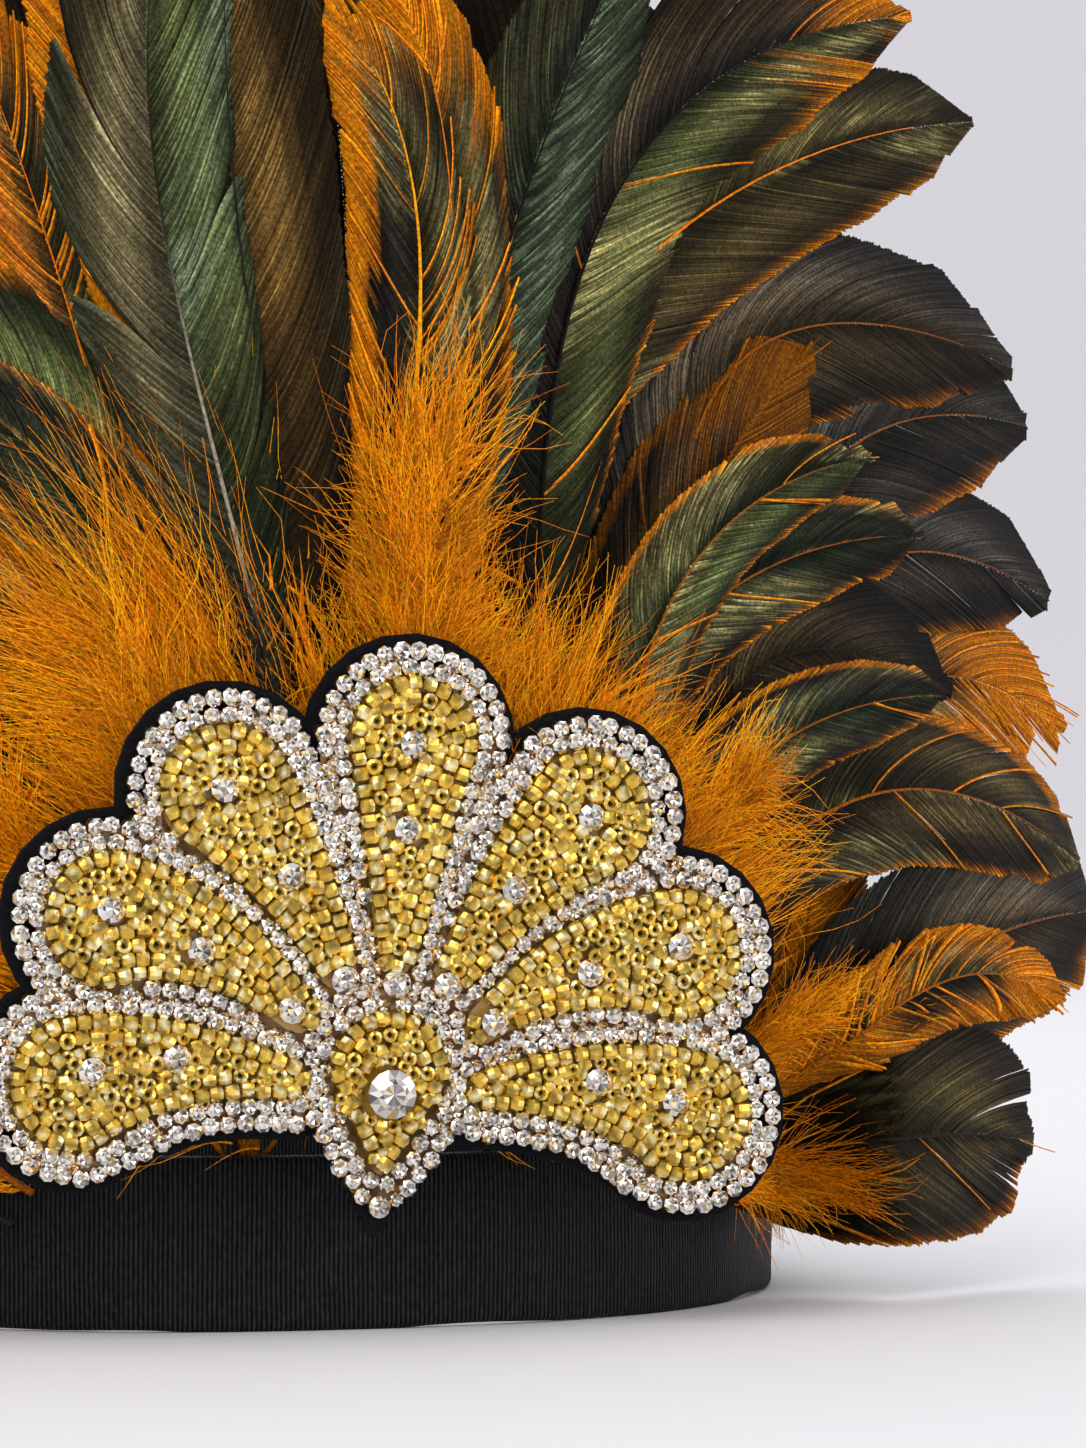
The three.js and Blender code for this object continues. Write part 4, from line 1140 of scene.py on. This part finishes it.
def build_stones():
    rng = np.random.default_rng(STONE_SEED)
    places, full = stone_places()
    count = len(places)
    size = rng.uniform(*STONES.sizes, count)
    size[full:] *= STONES.fill_size
    turn = rng.uniform(0, 2 * math.pi, count)
    ahead = np.stack([np.cos(turn), np.sin(turn)], axis=1)
    heights = np.full(count, LAYER_FOOT)
    heights[full:] -= STONES.fill_sunk
    turns = spin_matrices(ahead, rng.normal(0, STONES.tip, (count, 2)))
    paint = stone_paint(rng, RHINESTONE, SMALL_FACETS, count)
    shape = Shape()
    scatter(shape, RHINESTONE, places, heights, turns, paint, size)
    for line, radius in FIELDS.values():
        spread = radius + STONES.rows[0] + BED.beyond
        for middle, reach in zip(line[::BED.every], spread[::BED.every]):
            add_bed(shape, middle + polar_ring(reach, BED.sides), middle, STONE_BED_RISE, STONE_BED)
    shape.piece("crystal_rows_stones", CRYSTAL, ["crystal_rows"], smooth=False)
    places = np.concatenate([PETAL_STONES, [TIP_STONE]])
    count = len(places)
    ahead = np.tile(np.array([[1.0, 0.0]]), (count, 1))
    sizes = np.ones(count)
    sizes[-1] = STONES.tip_stone_size
    turns = spin_matrices(ahead, rng.normal(0, STONES.large_tip, (count, 2)))
    paint = stone_paint(rng, PETAL_STONE, PETAL_FACETS, count)
    shape = Shape()
    scatter(shape, PETAL_STONE, places, np.full(count, LAYER_FOOT), turns, paint, sizes)
    shape.piece("petal_stones", CRYSTAL, (), smooth=False)
    turns = spin_matrices(ahead[:1], np.zeros((1, 2)))
    paint = stone_paint(rng, CENTRE_FORM, CENTRE_FACETS, 1)
    shape = Shape()
    scatter(shape, CENTRE_FORM, CENTRE_STONE[None], np.array([STONES.centre_foot]), turns, paint, np.ones(1))
    shape.piece("centre_stone_cut", CRYSTAL, ["centre_stone"], smooth=False)


build_stones()


def ramp_node(nodes, links, shader, fac, dark, pale, span=(0, 1)):
    ramp = nodes.new("ShaderNodeValToRGB")
    for element, colour, position in zip(ramp.color_ramp.elements, (dark, pale), span):
        element.color = (*colour, 1)
        element.position = position
    links.new(fac, ramp.inputs[0])
    links.new(ramp.outputs[0], shader.inputs["Base Color"])


# Felt: its grain, dark and pale, gloss, relief in m, and soft edge
FELT_LOOK = Sizes(grain=2500, detail=4, dark=(0.001, 0.001, 0.0015), pale=(0.014, 0.014, 0.017),
                  roughness=0.95, shine=0.1, relief=0.6, relief_depth=0.0003, edge=0.4, edge_steps=2)
WELD = 1e-6


def felt_material():
    material, nodes, links, shader = node_material("felt")
    fac = noise_node(nodes, links, FELT_LOOK.grain, FELT_LOOK.detail)
    ramp_node(nodes, links, shader, fac, FELT_LOOK.dark, FELT_LOOK.pale)
    shader.inputs["Roughness"].default_value = FELT_LOOK.roughness
    shader.inputs["Specular IOR Level"].default_value = FELT_LOOK.shine
    bump_node(nodes, links, shader, fac, FELT_LOOK.relief, FELT_LOOK.relief_depth)
    return material


FELT = felt_material()


def build_felt():
    """The felt plate with softened edges."""
    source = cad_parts["felt_backing"]
    mesh = source.data.copy()
    welded = bmesh.new()
    welded.from_mesh(mesh)
    bmesh.ops.remove_doubles(welded, verts=welded.verts, dist=WELD)
    welded.to_mesh(mesh)
    welded.free()
    mesh.materials.clear()
    mesh.materials.append(FELT)
    obj = bpy.data.objects.new("felt_backing_plate", mesh)
    bpy.context.scene.collection.objects.link(obj)
    obj.matrix_world = source.matrix_world.copy()
    bevel = obj.modifiers.new("soft edge", "BEVEL")
    bevel.width = FELT_LOOK.edge * MM
    bevel.segments = FELT_LOOK.edge_steps
    bevel.limit_method = "ANGLE"
    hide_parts("felt_backing")
    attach(obj, "root")


build_felt()


# Cloth of the band: how its ribs wander, its grain, contrast of the painted highlight and shade on ribs and
# grain, colours, gloss, relief and pitch of ribs
CLOTH = Sizes(wander=120, wander_detail=3, wander_size=3.0, grain=1800, grain_detail=3,
              grain_stretch=(1, 1, 0.5), grain_size=2.6, contrast=0.3, shift=0.05,
              dark=(0.001, 0.001, 0.0015), pale=(0.045, 0.046, 0.054), span=(0.25, 0.85), roughness=0.55,
              shine=0.12, relief=1.0, relief_depth=0.0003, rib_pitch=0.62, paint=(0.01, 0.01, 0.012, 0))


def band_material():
    """Black ribbed cloth: fine upright ribs, broken up along their length, their crests painted lighter and
    their hollows darker as painted highlight and shade.
    """
    material, nodes, links, shader = node_material("band_cloth")
    rib = nodes.new("ShaderNodeAttribute")
    rib.attribute_name = "rib"
    wander = noise_node(nodes, links, CLOTH.wander, CLOTH.wander_detail)
    phase = math_node(nodes, links, "MULTIPLY_ADD", wander, CLOTH.wander_size)
    links.new(rib.outputs["Fac"], phase.node.inputs[2])
    wave = math_node(nodes, links, "SINE", phase, 0)
    grain = noise_node(nodes, links, CLOTH.grain, CLOTH.grain_detail, CLOTH.grain_stretch)
    height = math_node(nodes, links, "MULTIPLY_ADD", grain, CLOTH.grain_size)
    links.new(wave, height.node.inputs[2])
    # Painted highlight and shade: the rib's height, with the grain, sets the colour from dark to pale
    shift = math_node(nodes, links, "MULTIPLY_ADD", height, CLOTH.contrast)
    shift.node.inputs[2].default_value = CLOTH.shift
    ramp_node(nodes, links, shader, shift, CLOTH.dark, CLOTH.pale, CLOTH.span)
    shader.inputs["Roughness"].default_value = CLOTH.roughness
    shader.inputs["Specular IOR Level"].default_value = CLOTH.shine
    bump_node(nodes, links, shader, height, CLOTH.relief, CLOTH.relief_depth)
    return material


BAND_CLOTH = band_material()
# Mesh of the band: columns, rounding of its edges, rows, how far its face lies in, and its lift
BAND_MESH = Sizes(columns=480, corner=0.9, corner_steps=4, rows=10, inset=0.3, lift_power=3)
# Unevenness round the band: size, waves and phase
BAND_SWAY = ((0.25, 7, 1), (0.2, 11, 0), (0.12, 23, 2))
BAND_LIFT = ((0.35, 9, 0.5), (0.2, 17, 0))


def waves(turn, rows):
    return sum(size * np.sin(turn * count + phase) for size, count, phase in rows)


def band_profile():
    """The wall's section, out and up: outer face, top, inner face and foot, with round edges."""
    wall, height, corner = BAND.wall, BAND.height, BAND_MESH.corner
    rows = np.linspace(corner, height - corner, BAND_MESH.rows)
    bend = np.linspace(0, math.pi / 2, BAND_MESH.corner_steps + 1)
    profile = [(0, z) for z in rows]
    profile += [(-corner + corner * math.cos(b), height - corner + corner * math.sin(b)) for b in bend[1:]]
    profile += [(-wall + corner - corner * math.sin(b), height - corner + corner * math.cos(b)) for b in bend]
    profile += [(-wall, z) for z in rows[::-1][1:]]
    profile += [(-wall + corner - corner * math.cos(b), corner - corner * math.sin(b)) for b in bend[1:]]
    profile += [(-corner + corner * math.sin(b), corner - corner * math.cos(b)) for b in bend[:-1]]
    return np.array(profile)


def build_band():
    """The ring of cloth: a rounded wall swept round the head line, its edges a little uneven."""
    columns, height = BAND_MESH.columns, BAND.height
    turn = np.linspace(0, 2 * math.pi, columns, endpoint=False)
    power = 2 / BAND.squareness
    x = BAND.half_width * np.sign(np.sin(turn)) * np.abs(np.sin(turn)) ** power
    y = BAND.half_depth * np.sign(np.cos(turn)) * np.abs(np.cos(turn)) ** power
    ring = np.stack([x, y], axis=1)
    tangent = unit(np.roll(ring, -1, axis=0) - np.roll(ring, 1, axis=0))
    outward = np.stack([-tangent[:, 1], tangent[:, 0]], axis=1)
    outward *= np.sign(dot(outward, ring))
    profile = band_profile()
    out, up = profile.T
    sway = waves(turn, BAND_SWAY)[:, None] * np.sin(math.pi * up / height)
    lift = np.maximum(0, waves(turn, BAND_LIFT))[:, None] * (1 - up / height) ** BAND_MESH.lift_power
    flat = ring[:, None] + outward[:, None] * (out + sway - BAND_MESH.inset)[..., None]
    points = np.concatenate([flat, (up + lift)[..., None]], axis=-1)
    steps = np.linalg.norm(np.roll(ring, -1, axis=0) - ring, axis=1)
    arc = np.concatenate([[0], np.cumsum(steps)])
    shape = Shape()
    shape.add(points, CLOTH.paint, closed_quads(columns, len(profile)))
    obj = shape.piece("headband_cloth", BAND_CLOTH, ["headband"])
    column = np.repeat(np.arange(columns), len(profile))
    turns = arc * 2 * math.pi * round(arc[-1] / CLOTH.rib_pitch) / arc[-1]
    rib = obj.data.attributes.new("rib", "FLOAT", "CORNER")
    rib.data.foreach_set("value", turns[np.stack([column, column + 1, column + 1, column], axis=1)].ravel())


build_band()

# Floor and lights in m: the floor curves up all round, and each light has its place, aim, size and power
FLOOR = Sizes(radius=3.2, cove=1.2, wall=3.0, steps=16, sides=64, colour=(0.83, 0.825, 0.85, 1),
              roughness=0.8)
LIGHT_AIM = (0, -0.05, 0.08)
LIGHTS = {
    "key_light": ((-0.9, -1.1, 1.1), LIGHT_AIM, (1.5, 1.5), 12),
    "fill_light": ((1.3, -0.9, 0.5), LIGHT_AIM, (1.0, 1.0), 5),
    "top_light": ((0.2, 0.7, 1.5), LIGHT_AIM, (2.0, 1.6), 11.5),
    "wall_light": ((0.7, 1.5, 1.7), (1.0, 3.0, 0.6), (0.8, 0.8), 3.2),
}
SKY_COLOUR = (1.0, 0.99, 1.0, 1)
SKY_STRENGTH = 0.70
# Camera: its turn and pitch in degrees, place, film and lens in mm, and the nearest it shows in m
CAMERA = Sizes(azimuth=-16.9, pitch=1.04, place=(-170.75, -733.32, 64.27), film=36, lens=129.9,
               nearest=0.01)


def aimed(name, data, place, forward, right):
    """A light or camera at its place, looking forward, with its right to that side."""
    obj = bpy.data.objects.new(name, data)
    bpy.context.scene.collection.objects.link(obj)
    turn = Matrix(np.stack([right, np.cross(right, forward), -forward], axis=1).tolist()).to_4x4()
    obj.matrix_world = Matrix.Translation(place) @ turn
    return obj


def build_floor():
    radius, cove, sides = FLOOR.radius, FLOOR.cove, FLOOR.sides
    bend = np.linspace(0, math.pi / 2, FLOOR.steps)
    profile = [(0.0, 0.0)] + [(radius - cove + cove * math.sin(b), cove - cove * math.cos(b)) for b in bend]
    profile.append((radius, FLOOR.wall))
    rows = len(profile)
    points, faces = [], []
    for i in range(sides):
        turn, here, after = 2 * math.pi * i / sides, i * rows, (i + 1) % sides * rows
        points += [(r * math.cos(turn), r * math.sin(turn), z) for r, z in profile]
        faces += [(here + j, after + j, after + j + 1, here + j + 1) for j in range(rows - 1)]
    mesh = bpy.data.meshes.new("floor")
    mesh.from_pydata(points, [], faces)
    mesh.polygons.foreach_set("use_smooth", np.full(len(faces), True))
    floor = bpy.data.objects.new("floor", mesh)
    bpy.context.scene.collection.objects.link(floor)
    material, nodes, links, shader = node_material("pale_floor")
    shader.inputs["Base Color"].default_value = FLOOR.colour
    shader.inputs["Roughness"].default_value = FLOOR.roughness
    mesh.materials.append(material)


def area_light(name, place, aim, size, power):
    light = bpy.data.lights.new(name, "AREA")
    light.energy = power
    light.shape = "RECTANGLE"
    light.size, light.size_y = size
    forward = unit(np.array(aim, float) - np.array(place, float))
    aimed(name, light, place, forward, unit(np.cross(forward, (0, 0, 1))))


def build_camera():
    azimuth, pitch = math.radians(CAMERA.azimuth), math.radians(CAMERA.pitch)
    level = np.array([-math.sin(azimuth), math.cos(azimuth), 0])
    forward = level * math.cos(pitch) + np.array([0, 0, math.sin(pitch)])
    right = np.array([math.cos(azimuth), math.sin(azimuth), 0])
    data = bpy.data.cameras.new("camera")
    data.sensor_fit = "VERTICAL"
    data.sensor_height = CAMERA.film
    data.lens = CAMERA.lens
    data.clip_start = CAMERA.nearest
    bpy.context.scene.camera = aimed("camera", data, np.array(CAMERA.place) * MM, forward, right)


def studio():
    """A pale floor, soft lights, an even sky and the camera."""
    build_floor()
    for name, row in LIGHTS.items():
        area_light(name, *row)
    world = bpy.data.worlds.new("studio")
    world.use_nodes = True
    background = world.node_tree.nodes["Background"]
    background.inputs[0].default_value = SKY_COLOUR
    background.inputs[1].default_value = SKY_STRENGTH
    bpy.context.scene.world = world
    build_camera()
    bpy.context.scene.view_settings.view_transform = "Standard"


studio()
